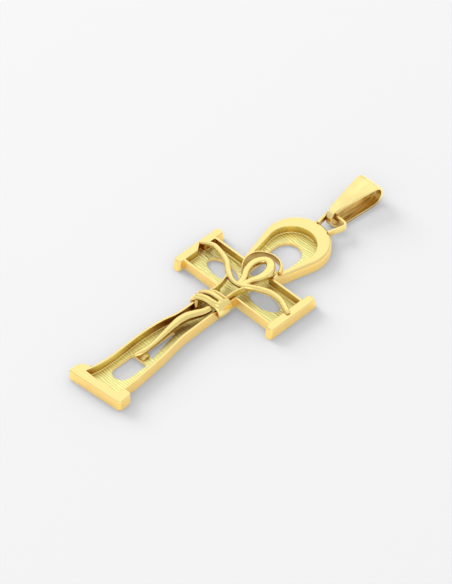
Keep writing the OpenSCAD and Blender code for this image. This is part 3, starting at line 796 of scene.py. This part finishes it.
def round_floor(s, bm):
    """Rounds the plate's edges at the holes and hollows the corners where the walls meet the plate."""
    lips, corners = [], []
    for edge in level_edges(bm, s.plate_t):
        if len(edge.link_faces) == 2:
            side, flat = sorted(edge.link_faces, key=lambda f: abs(f.normal.z))
            if abs(side.normal.z) < UPRIGHT_Z and abs(flat.normal.z) > LEVEL_Z:
                (lips if side.calc_center_median().z < s.plate_t else corners).append(edge)
    bevel(bm, lips, s.lip_r, EDGE_STEPS)
    bevel(bm, [e for e in corners if e.is_valid], s.floor_r, EDGE_STEPS)


def set_finishes(s, bm, slots):
    """Gives the upper faces and the walls of the recess their own finishes: the upper faces the paler
    colour that is partly painted highlight, and the walls of the recess the wire finish with its painted
    shade.
    """
    on_top, on_floor, on_walls = (slots.find(name) for name in ("polish", "stroked", "wire"))
    for face in bm.faces:
        if face.normal.z > TOP_Z and face.calc_center_median().z > s.frame_t - s.rim_edge_r:
            face.material_index = on_top
        elif face.material_index == on_floor and face.normal.z < WALL_Z:
            face.material_index = on_walls


def build_frame(context):
    """The cast frame: its outline raised, the recess sunk into it and the holes cut through the plate."""
    s = millimetres(context)
    names = ("polish", "satin", "stroked", "wire")
    polish, satin, stroked, wire = (finish(context, name) for name in names)
    cast = frame_body(s, satin)
    combine(cast, recess_solids(s, stroked), "DIFFERENCE")
    holes = hole_solids(s, satin)
    rows = sorted({middle_row(hole) for hole in holes})
    combine(cast, holes, "DIFFERENCE")
    bm = opened(cast)
    for row in rows:
        seam(bm, row)
    tidy_planes(bm)
    bm.normal_update()
    round_floor(s, bm)
    cast.data.materials.append(polish)
    cast.data.materials.append(wire)
    set_finishes(s, bm, cast.data.materials)
    write_back(bm, cast.data)
    edges = cast.modifiers.new("Edges", "BEVEL")
    edges.width = s.edge_r
    edges.segments = EDGE_STEPS
    edges.limit_method = "ANGLE"
    edges.angle_limit = math.radians(BEVEL_TURN)
    edges.use_clamp_overlap = False
    apply_modifiers(cast)
    crisp(cast)
    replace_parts(finish_piece(cast, s.origin_y), "ankh")


# Sweeps


def sweep(bm, path, sizes, ref, square=1):
    """A solid along a path. The first ring is a circle, and each later ring is extruded from the last.

    A square below 1 flattens the circle's sides towards a rectangle's.
    """
    ring = bmesh.ops.create_circle(bm, cap_ends=True, segments=WIRE_SIDES, radius=1)["verts"]
    for vert in ring:
        for k in (0, 1):
            vert.co[k] = math.copysign(abs(vert.co[k]) ** square, vert.co[k])
    edges = list(dict.fromkeys(e for v in ring for e in v.link_edges))
    last = len(path) - 1
    before = Matrix.Identity(4)
    for i, point in enumerate(path):
        ahead = (path[min(last, i + 1)] - path[max(0, i - 1)]).normalized()
        across = ahead.cross(ref).normalized() * sizes[i][0]
        rise = across.cross(ahead).normalized() * sizes[i][1]
        place = Matrix((across, rise, ahead)).transposed().to_4x4()
        place.translation = point
        if i:
            grown = bmesh.ops.extrude_edge_only(bm, edges=edges)["geom"]
            ring, edges = only(BMVert, grown), only(BMEdge, grown)
        bmesh.ops.transform(bm, matrix=place @ before.inverted(), verts=ring)
        before = place
    bmesh.ops.contextual_create(bm, geom=edges)


def even(count, half_w, half_h, end=WIRE_END):
    """The same size all along, drawn in at both ends."""
    return [(half_w * end, half_h * end) if i in (0, count - 1) else (half_w, half_h) for i in range(count)]


def scaled(rows, *sizes):
    """A path whose rows begin with shares of three sizes."""
    return [Vector(tuple(share * size for share, size in zip(r, sizes))) for r in rows]


def from_chest(s, rows):
    """A path of the head, whose rows are shares of its length above the chest."""
    return [point + s.chest_y * ALONG_Y for point in scaled(rows, s.head_len, s.head_len, s.figure_top)]


def on_shaft(s, rows):
    """A path over the shaft, from the middle of the crossing."""
    return scaled(rows, s.waist_half, s.shaft_len, s.figure_top)


def add_arm_wire(s, bm):
    """One wire from cap to cap, with a dip at the chest."""
    rows = smooth(ARM_ROWS, PATH_STEPS)
    path = scaled(rows, s.arm_reach, s.arm_half, s.figure_top)
    sweep(bm, path, [(r[3] * s.arm_wire_d / 2,) * 2 for r in rows], UP)


def add_head(s, bm):
    """The open ring of the head on its short neck."""
    rows = smooth(HEAD_ROWS, PATH_STEPS)
    sizes = [(r[3] * s.head_band_w / 2, s.head_band_h / 2) for r in rows]
    sweep(bm, from_chest(s, rows), sizes, UP, HEAD_SQUARE)


def add_halo(s, bm):
    """The thin upright band round the upper side of the head."""
    rows = smooth(HALO_ROWS, PATH_STEPS)
    sizes = [(r[3] * s.halo_t / 2, s.halo_h / 2) for r in rows]
    sweep(bm, from_chest(s, rows), sizes, UP, HALO_SQUARE)


def add_rib(s, bm, column):
    """One upright band from the arm wire to the waist."""
    path = [Vector((r[column] * s.waist_half, s.rib_y + r[2] * (s.wrap_y - s.rib_y), r[3] * s.figure_top))
            for r in smooth(RIB_ROWS, PATH_STEPS)]
    sweep(bm, path, even(len(path), s.rib_t / 2, s.rib_h / 2), UP, RIB_SQUARE)


def add_strand(s, bm, row):
    """One strand over the waist and down both outer walls."""
    left, middle, right, width, height = row
    rows = []
    for x, z in smooth(STRAND_ROWS, PATH_STEPS):
        end = left if x < 0 else right
        rows.append((x, middle + (end - middle) * min(1, x * x), z * height))
    sizes = even(len(rows), s.strand_t / 2, width * s.strand_w / 2, STRAND_END)
    sweep(bm, on_shaft(s, rows), sizes, ALONG_Y)


def add_fan(s, bm):
    """The fan where the strands run together at the right."""
    rows = smooth(FAN_ROWS, PATH_STEPS)
    sizes = [(FAN_HALF * s.strand_t, r[3] * s.strand_w / 2) for r in rows]
    sweep(bm, on_shaft(s, rows), sizes, ALONG_Y, FAN_SQUARE)


def add_leg(s, bm):
    """The tapered leg, which ends in a small foot with its toe to the left."""
    rows = smooth(LEG_ROWS, PATH_STEPS)
    sweep(bm, on_shaft(s, rows), [(r[3] * s.leg_w / 2, r[4] * s.leg_h / 2) for r in rows], UP)


def add_tucked_end(s, bm):
    """The end of the wrap's wire, tucked in beside the leg."""
    rows = smooth(TUCK_ROWS, PATH_STEPS)
    sweep(bm, on_shaft(s, rows), [(r[3] * s.tuck_d / 2,) * 2 for r in rows], ALONG_Y)


def add_footrest(s, bm):
    """A small bracket under the foot, sloped on its lower side."""
    top = s.footrest_h + BITE
    near = Vector((-s.footrest_len / 2, s.bridge_y + BITE, s.plate_t - BITE))
    made = [bm.verts.new(near)]
    for y, z in ((s.footrest_w, 0), (s.footrest_w, top), (s.footrest_w / 2, top), (0, 2 * BITE)):
        made.append(line_to(bm, made[-1], near + Vector((0, y, z))))
    edges = [e for v in made for e in v.link_edges] + [bm.edges.new((made[-1], made[0]))]
    face = bmesh.ops.contextual_create(bm, geom=list(dict.fromkeys(edges)))["faces"]
    raised = bmesh.ops.extrude_face_region(bm, geom=face)["geom"]
    bmesh.ops.translate(bm, vec=(s.footrest_len, 0, 0), verts=only(BMVert, raised))


def fuse(obj, s):
    """Blends the solids of a piece into one skin, as solder does."""
    skin = obj.modifiers.new("Fuse", "REMESH")
    skin.mode = "VOXEL"
    skin.voxel_size = s.fuse
    skin.use_smooth_shade = True
    ease = obj.modifiers.new("Ease", "SMOOTH")
    ease.factor = 0.5
    ease.iterations = 2
    apply_modifiers(obj)


def build_figure(context):
    """Arms, head, halo, torso, leg and wrap, each blended into one skin."""
    s = millimetres(context)
    wire = finish(context, "wire")
    skins = {
        "figure": [(add_arm_wire,), (add_head,), (add_halo,), (add_rib, 0), (add_rib, 1)],
        "leg": [(add_leg,), (add_footrest,)],
        "waist_wrap": [*((add_strand, row) for row in WRAP_ROWS), (add_fan,), (add_tucked_end,)],
    }
    for name, solids in skins.items():
        bm = bmesh.new()
        for add, *choice in solids:
            add(s, bm, *choice)
        bmesh.ops.recalc_face_normals(bm, faces=bm.faces[:])
        piece = new_piece(name, bm, wire)
        fuse(piece, s)
        piece.data.materials.clear()
        piece.data.materials.append(wire)
        shade(piece, SHARP_TURN)
        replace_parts(finish_piece(piece, s.origin_y), "ankh")


# Link and bail


def thicken(bm, middle, thickness, edge_r):
    """Turns a band's faces away from its middle, gives it its thickness and rounds its edges."""
    bmesh.ops.recalc_face_normals(bm, faces=bm.faces[:])
    if sum((f.calc_center_median() - middle).dot(f.normal) for f in bm.faces) < 0:
        bmesh.ops.reverse_faces(bm, faces=bm.faces[:])
    bmesh.ops.solidify(bm, geom=bm.faces[:], thickness=thickness)
    bmesh.ops.recalc_face_normals(bm, faces=bm.faces[:])
    limit = math.radians(SHARP_TURN)
    bevel(bm, [e for e in bm.edges if e.is_manifold and e.calc_face_angle(0) > limit], edge_r, EDGE_STEPS)


def build_link(context):
    """The flat band of the link, as a staple whose two ends are soldered into the loop's rim."""
    s = millimetres(context)
    corner = 2 * s.link_t
    steps = 2 * CORNER_STEPS
    far_x, far_y = s.link_w / 2 - corner, s.loop_top + s.link_reach - corner
    near_x, near_y = s.link_base_w / 2 - corner, s.loop_top - corner
    lean = math.atan2(far_x - near_x, far_y - near_y)
    out_x, out_y = corner * math.cos(lean), -corner * math.sin(lean)
    bm = bmesh.new()
    draw(bm, 0, (near_x + out_x, near_y + out_y), (far_x + out_x, far_y + out_y),
         (far_x, far_y, QUARTER + lean, steps), (-far_x, far_y + corner),
         (-far_x, far_y, QUARTER + lean, steps), (-near_x - out_x, near_y + out_y),
         (-near_x, near_y, QUARTER - lean, steps), (near_x, near_y - corner),
         (near_x, near_y, QUARTER - lean, steps))
    bmesh.ops.remove_doubles(bm, verts=bm.verts[:], dist=SAME)
    raised = bmesh.ops.extrude_edge_only(bm, edges=bm.edges[:])["geom"]
    bmesh.ops.translate(bm, vec=(0, 0, s.link_h), verts=only(BMVert, raised))
    thicken(bm, far_y * ALONG_Y, s.link_t, s.band_edge_r)
    turn = Matrix.Translation((s.link_shift, s.eye_y, 0)) @ Matrix.Rotation(-s.link_turn, 4, "Z")
    lift = Matrix.Translation((0, -s.eye_y, s.eye_r + s.link_raise - s.link_h / 2))
    bmesh.ops.transform(bm, matrix=turn @ lift, verts=bm.verts[:])
    piece = new_piece("link", bm, finish(context, "wire"))
    bm = bmesh.new()
    rim_r = s.loop_r - s.rim_edge_r / 2
    bmesh.ops.create_cone(bm, cap_ends=True, segments=2 * ROUND_STEPS, radius1=rim_r, radius2=rim_r,
                          depth=4 * s.link_h, matrix=Matrix.Translation((0, s.loop_rise, s.eye_r)))
    combine(piece, [new_piece("rim", bm)], "DIFFERENCE")
    crisp(piece)
    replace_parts(finish_piece(piece, s.origin_y), "ankh")


def ribbon_line(bm, vert, point):
    """Draws a straight stretch of the ribbon on in even steps and returns its last vertex."""
    begin = vert.co.copy()
    for k in range(1, RIBBON_STEPS + 1):
        vert = line_to(bm, vert, begin.lerp(point, k / RIBBON_STEPS))
    return vert


def build_bail(context):
    """The ribbon of the bail: its side view drawn, drawn out to its width, and given its thickness."""
    s = millimetres(context)
    fold, eye = Vector((0, s.fold_y, s.fold_r)), Vector((0, s.eye_y, s.eye_r))
    rise = math.atan2(s.fold_r - s.eye_r, s.fold_y - s.eye_y)
    top = QUARTER + 2 * rise
    half_turn = math.pi + 2 * rise
    bm = bmesh.new()
    vert = ribbon_line(bm, bm.verts.new((0, s.eye_y, 0)), Vector((0, s.fold_y, 0)))
    vert = arc_to(bm, vert, fold, half_turn, ROUND_STEPS // 2, ALONG_X)
    vert = ribbon_line(bm, vert, eye + Vector((0, math.cos(top), math.sin(top))) * s.eye_r)
    arc_to(bm, vert, eye, 2 * math.pi - half_turn, ROUND_STEPS // 3, ALONG_X)
    bmesh.ops.remove_doubles(bm, verts=bm.verts[:], dist=SAME)
    grown = bmesh.ops.extrude_edge_only(bm, edges=bm.edges[:])["geom"]
    right = set(only(BMVert, grown))
    for v in bm.verts:
        v.co.x = ribbon_edge(s, v.co.y, v.co.z, 1 if v in right else -1)
    thicken(bm, fold, s.bail_t, s.band_edge_r)
    # Faces that look into the fold get the inside finish, whose darker brown is painted shade
    for face in bm.faces:
        face.material_index = (face.calc_center_median() - fold).dot(face.normal) < 0
    piece = new_piece("bail_ribbon", bm, finish(context, "ribbon"), finish(context, "inside"))
    crisp(piece)
    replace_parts(finish_piece(piece, s.origin_y), "bail")


# Places on each side of a point of the ribbon's edge over which its bends are eased
EASE_PLACES = 4


def ribbon_edge(s, y, z, side):
    """Where an edge of the ribbon lies, from the tip round the link to the fold."""
    eye_w = s.bail_front_w if z > s.eye_r else s.bail_back_w
    left = s.eye_left - s.bail_swing
    tip_y = s.eye_y - s.eye_in_r
    if side < 0:
        stops = ((tip_y, s.eye_left), (s.eye_y, left), (s.fold_y, -s.bail_fold_w / 2))
    else:
        stops = ((tip_y, s.eye_left + s.bail_tip_w), (s.eye_y, left + eye_w), (s.fold_y, s.bail_fold_w / 2))
    places = range(-EASE_PLACES, EASE_PLACES + 1)
    return sum(straight(stops, y + s.bail_swing * k / EASE_PLACES) for k in places) / len(places)


def straight(stops, y):
    """The value at y of the straight lines through the stops."""
    if y <= stops[0][0]:
        return stops[0][1]
    for (y0, x0), (y1, x1) in zip(stops, stops[1:]):
        if y <= y1:
            return x0 + (x1 - x0) * (y - y0) / (y1 - y0)
    return stops[-1][1]


# Finishes

# Strokes of the recess, as a pattern, and how wavy they are
STROKES = (1000, 3, (0.35, 1, 1))
STROKE_WAVES = 9

# Looks of the finishes. A pattern is its features per metre, its detail and its stretch.
# tint: pattern, darkest and lightest share of the colour
# crevice shade, a painted shade where other metal is near: reach in millimetres, shade, and how open the
# place is where it is deepest and where it is clear
# gloss: pattern, lowest and highest roughness
# relief: pattern, strength and depth in millimetres of each bump
LOOKS = {
    # Polished cast metal: slightly wavy, with faint hairlines
    "polish": {
        "gloss": ((900, 3), 0.2, 0.3),
        "relief": (((420, 2), 0.5, 0.05), ((1500, 2, (1, 9, 3)), 0.3, 0.006)),
    },
    # Outer walls: softer than the polished tops, in a deeper orange that is partly painted shade
    "satin": {
        "tint": ((420, 3), 0.94, 1.04),
        "gloss": ((1300, 3), 0.26, 0.38),
        "relief": (((600, 2), 0.5, 0.06), ((5000, 2), 0.3, 0.01)),
    },
    # Recess: fine parallel strokes along the crossbar, a little wavy, over a hammered ground, with painted
    # shade near its walls
    "stroked": {
        "tint": (STROKES, 0.82, 1.12),
        "painted_crevice_shade": (0.8, (0.9, 0.72, 0.42), 0.2, 0.8),
        "gloss": ((1500, 2), 0.34, 0.48),
        "relief": (((600, 3, (0.6, 4, 2)), 0.5, 0.035), (STROKES, 0.9, 0.024)),
    },
    # Figure and link: wire that was bent, filed and polished by hand, with painted shade where other metal
    # is near
    "wire": {
        "tint": ((500, 3), 0.94, 1.03),
        "painted_crevice_shade": (1.5, (0.4, 0.17, 0.04), 0.4, 1),
        "gloss": ((1200, 3), 0.18, 0.3),
        "relief": (((700, 2), 0.7, 0.08), ((2600, 2), 0.5, 0.02)),
    },
    # Outside of the bail: rolled sheet that was folded by hand, uneven, and browner in its folds by painted
    # shade
    "ribbon": {
        "tint": ((900, 5, (1, 0.4, 1)), 0.86, 1.05),
        "painted_crevice_shade": (1.3, (0.3, 0.14, 0.05), 0.35, 0.95),
        "gloss": ((1100, 3), 0.18, 0.32),
        "relief": (((420, 3), 0.8, 0.1), ((1800, 3, (1, 0.3, 1)), 0.5, 0.02)),
    },
    # Inside of the bail: a darker brown that is painted shade of the fold, streaked along the ribbon
    "inside": {
        "tint": ((2600, 6, (1, 0.12, 1)), 0.5, 1.55),
        "gloss": ((1300, 3), 0.3, 0.44),
        "relief": (((700, 3), 0.6, 0.06), ((2400, 3, (1, 0.2, 1)), 0.6, 0.03)),
    },
}


def finish(context, name):
    """The material of one finish, made once."""
    if name in bpy.data.materials:
        return bpy.data.materials[name]
    rgb = getattr(context.scene.pendant_finish, name)
    material = bpy.data.materials.new(name)
    material.use_nodes = True
    tree = material.node_tree
    shader = tree.nodes["Principled BSDF"]
    shader.inputs["Base Color"].default_value = (*rgb, 1)
    shader.inputs["Metallic"].default_value = 1
    look = LOOKS[name]
    if "tint" in look:
        tint(tree, shader, rgb, *look["tint"])
    # Painted shade: a darker, browner colour where other metal is near
    if "painted_crevice_shade" in look:
        painted_crevice_shade(tree, shader, *look["painted_crevice_shade"])
    gloss(tree, shader, *look["gloss"])
    relief(tree, shader, look["relief"])
    return material


def node(tree, kind, **values):
    """A node with its settings and the values of its sockets."""
    made = tree.nodes.new(kind)
    for key, value in values.items():
        if hasattr(made, key):
            setattr(made, key, value)
        else:
            made.inputs[key.replace("_", " ")].default_value = value
    return made


def link(tree, start, output, end, socket):
    """A link between two sockets, by their names or numbers."""
    tree.links.new(start.outputs[output], end.inputs[socket])


def pattern(tree, kind):
    """Noise, or the strokes' waves, over the object's own coordinates."""
    scale, detail, stretch = (*kind, (1, 1, 1))[:3]
    place = node(tree, "ShaderNodeTexCoord")
    mapping = node(tree, "ShaderNodeMapping", Scale=stretch)
    if kind is STROKES:
        made = node(tree, "ShaderNodeTexWave", bands_direction="Y", Scale=scale, Distortion=STROKE_WAVES,
                    Detail=detail)
    else:
        made = node(tree, "ShaderNodeTexNoise", Scale=scale, Detail=detail)
    link(tree, place, "Object", mapping, "Vector")
    link(tree, mapping, "Vector", made, "Vector")
    return made


def ramp(tree, *stops):
    """A colour ramp between two stops, each a position and a colour."""
    made = node(tree, "ShaderNodeValToRGB")
    for element, (position, rgb) in zip(made.color_ramp.elements, stops):
        element.position = position
        element.color = (*rgb, 1)
    return made


# Values of a pattern at which a tint has its lower and its upper shade
TINT_SPREAD = (0.3, 0.7)


def tint(tree, shader, rgb, kind, low, high):
    """Lets the colour vary between two shades of itself."""
    shades = [[min(1, c * share) for c in rgb] for share in (low, high)]
    shading = ramp(tree, *zip(TINT_SPREAD, shades))
    link(tree, pattern(tree, kind), "Fac", shading, "Fac")
    link(tree, shading, "Color", shader, "Base Color")


def gloss(tree, shader, kind, low, high):
    """Lets the roughness vary between two values."""
    spread = node(tree, "ShaderNodeMapRange", To_Min=low, To_Max=high)
    link(tree, pattern(tree, kind), "Fac", spread, "Value")
    link(tree, spread, "Result", shader, "Roughness")


def relief(tree, shader, layers):
    """Stacks bumps. Each layer is a pattern, its strength and its depth in millimetres."""
    before = None
    for kind, strength, depth in layers:
        bump = node(tree, "ShaderNodeBump", Strength=strength, Distance=depth * MM)
        link(tree, pattern(tree, kind), "Fac", bump, "Height")
        if before:
            link(tree, before, "Normal", bump, "Normal")
        before = bump
    link(tree, before, "Normal", shader, "Normal")


def painted_crevice_shade(tree, shader, reach, shade, deep, clear):
    """Paints shade into the colour where other metal is near: a darker, browner colour that stands in for
    the shade and the gold-on-gold reflection there.
    """
    near = node(tree, "ShaderNodeAmbientOcclusion", samples=8, Distance=reach * MM)
    mix = node(tree, "ShaderNodeMix", data_type="RGBA", blend_type="MULTIPLY")
    shading = ramp(tree, (deep, shade), (clear, (1, 1, 1)))
    mix.inputs["Factor"].default_value = 1
    base = shader.inputs["Base Color"]
    mix.inputs[6].default_value = base.default_value
    if base.links:
        tree.links.new(base.links[0].from_socket, mix.inputs[6])
    link(tree, near, "AO", shading, "Fac")
    link(tree, shading, "Color", mix, 7)
    link(tree, mix, 2, shader, "Base Color")


# Stage


def build_stage(context):
    """The floor, the light and the camera."""
    s = millimetres(context)
    stage = context.scene.pendant_stage
    bm = bmesh.new()
    bmesh.ops.create_grid(bm, x_segments=1, y_segments=1, size=stage.floor_size / 2)
    material = bpy.data.materials.new("floor")
    material.use_nodes = True
    shader = material.node_tree.nodes["Principled BSDF"]
    shader.inputs["Base Color"].default_value = (*context.scene.pendant_finish.floor, 1)
    shader.inputs["Roughness"].default_value = FLOOR_ROUGHNESS
    shader.inputs["Emission Color"].default_value = (1, 1, 1, 1)
    rays = node(material.node_tree, "ShaderNodeLightPath")
    glow = node(material.node_tree, "ShaderNodeMapRange", To_Min=FLOOR_GLOW[0], To_Max=FLOOR_GLOW[1])
    link(material.node_tree, rays, "Is Glossy Ray", glow, "Value")
    link(material.node_tree, glow, "Result", shader, "Emission Strength")
    floor = new_piece("floor", bm, material)
    place_camera(context, s, stage)
    light_sky(context)
    for name, spot, size, power, shows in LIGHTS:
        lamp = bpy.data.lights.new(name, "AREA")
        lamp.shape = "DISK"
        lamp.size = size
        lamp.energy = power
        obj = bpy.data.objects.new(name, lamp)
        obj.location = spot
        obj.rotation_euler = (-Vector(spot)).to_track_quat("-Z", "Y").to_euler()
        obj.visible_glossy = shows
        context.scene.collection.objects.link(obj)
    context.scene.view_settings.view_transform = "Standard"
    context.scene.cycles.caustics_reflective = False


# The floor is a sheet lit from below. Its glow: as the camera sees it, and as the metal shows it
FLOOR_GLOW = (0.19, 0.48)
FLOOR_ROUGHNESS = 0.9

# Sky: where it is brightest, two positions on the way there with their shades, and its strength
SKY_TOWARDS = (-0.5, 0.5, 0.72)
SKY_SHADES = ((0.6, (0.68, 0.68, 0.68)), (0.94, (1, 1, 1)))
SKY_STRENGTH = 1.16

# Lamps. Columns: name, place in metres, size in metres, power in watts, whether the metal shows it
LIGHTS = [
    ("key_light", (-0.85, 0.0, 0.45), 0.6, 7.5, False),
    ("front_light", (0.5, -0.5, 0.3), 0.5, 0.6, True),
]

# Pixel of the photograph that shows the anchor, the picture's middle, and the anchor in millimetres
ANCHOR_PIXEL = (245, 280)
MIDDLE_PIXEL = (226, 292)
ANCHOR = (0.42, 0, 1.75)
PICTURE_HEIGHT = 584
SENSOR = 36
CLIP_START = 0.01


def place_camera(context, s, stage):
    """The camera at the photograph's angle, with the anchor at its pixel."""
    e, h = stage.elevation, stage.heading
    right = Vector((math.sin(h), math.cos(h), 0))
    view = Vector((-math.cos(h) * math.cos(e), math.sin(h) * math.cos(e), -math.sin(e)))
    up = Vector((-math.cos(h) * math.sin(e), math.sin(h) * math.sin(e), math.cos(e)))
    focal_mm = stage.focal / MM
    focal_pixels = focal_mm * PICTURE_HEIGHT / SENSOR
    dx, dy = ((a - m) / focal_pixels for a, m in zip(ANCHOR_PIXEL, MIDDLE_PIXEL))
    anchor = Vector(ANCHOR) - Vector((0, s.origin_y, 0))
    eye = anchor * MM - stage.distance * (right * dx - up * dy + view)
    data = bpy.data.cameras.new("camera")
    data.lens = focal_mm
    data.sensor_width = SENSOR
    data.clip_start = CLIP_START
    camera = bpy.data.objects.new("camera", data)
    camera.matrix_world = Matrix.Translation(eye) @ Matrix((right, up, -view)).transposed().to_4x4()
    context.scene.collection.objects.link(camera)
    context.scene.camera = camera


def light_sky(context):
    """A soft white surround, brighter high up behind the pendant."""
    world = bpy.data.worlds.new("studio")
    world.use_nodes = True
    tree = world.node_tree
    place = node(tree, "ShaderNodeTexCoord")
    towards = node(tree, "ShaderNodeVectorMath", operation="DOT_PRODUCT")
    towards.inputs[1].default_value = Vector(SKY_TOWARDS).normalized()
    shading = ramp(tree, *SKY_SHADES)
    backdrop = tree.nodes["Background"]
    backdrop.inputs["Strength"].default_value = SKY_STRENGTH
    link(tree, place, "Generated", towards, 0)
    link(tree, towards, "Value", shading, "Fac")
    link(tree, shading, "Color", backdrop, "Color")
    context.scene.world = world


class PENDANT_OT_frame(bpy.types.Operator):
    """Build the cast frame with its recess and holes"""

    bl_idname = "pendant.frame"
    bl_label = "Frame"

    def execute(self, context):
        build_frame(context)
        return {"FINISHED"}


class PENDANT_OT_figure(bpy.types.Operator):
    """Build the wire figure, its leg and the waist wrap"""

    bl_idname = "pendant.figure"
    bl_label = "Figure"

    def execute(self, context):
        build_figure(context)
        return {"FINISHED"}


class PENDANT_OT_link(bpy.types.Operator):
    """Build the flat link on the loop"""

    bl_idname = "pendant.link"
    bl_label = "Link"

    def execute(self, context):
        build_link(context)
        return {"FINISHED"}


class PENDANT_OT_bail(bpy.types.Operator):
    """Build the folded ribbon of the bail"""

    bl_idname = "pendant.bail"
    bl_label = "Bail"

    def execute(self, context):
        build_bail(context)
        return {"FINISHED"}


class PENDANT_OT_stage(bpy.types.Operator):
    """Set the floor, the light and the camera"""

    bl_idname = "pendant.stage"
    bl_label = "Stage"

    def execute(self, context):
        build_stage(context)
        return {"FINISHED"}


class PENDANT_PT_panel(bpy.types.Panel):
    """Lists the pieces of the pendant"""

    bl_idname = "PENDANT_PT_panel"
    bl_label = "Ankh Pendant"
    bl_space_type = "VIEW_3D"
    bl_region_type = "UI"
    bl_category = "Pendant"

    def draw(self, context):
        for operator in OPERATORS:
            self.layout.operator(operator.bl_idname)


GROUPS = {
    "pendant_frame": PENDANT_PG_frame,
    "pendant_holes": PENDANT_PG_holes,
    "pendant_figure": PENDANT_PG_figure,
    "pendant_bail": PENDANT_PG_bail,
    "pendant_finish": PENDANT_PG_finish,
    "pendant_stage": PENDANT_PG_stage,
}
OPERATORS = (PENDANT_OT_stage, PENDANT_OT_frame, PENDANT_OT_figure, PENDANT_OT_link, PENDANT_OT_bail)


def register():
    """Registers the classes and hangs the groups on the scene."""
    for group in (*GROUPS.values(), *OPERATORS, PENDANT_PT_panel):
        bpy.utils.register_class(group)
    for name, group in GROUPS.items():
        setattr(bpy.types.Scene, name, PointerProperty(type=group))


def unregister():
    """Takes the groups and the classes away again."""
    for name in GROUPS:
        delattr(bpy.types.Scene, name)
    for group in (PENDANT_PT_panel, *reversed(OPERATORS), *reversed(GROUPS.values())):
        bpy.utils.unregister_class(group)


def main():
    """Builds the stage and the pieces."""
    register()
    bpy.ops.pendant.stage()
    bpy.ops.pendant.frame()
    bpy.ops.pendant.figure()
    bpy.ops.pendant.link()
    bpy.ops.pendant.bail()


if __name__ == "__main__":
    main()
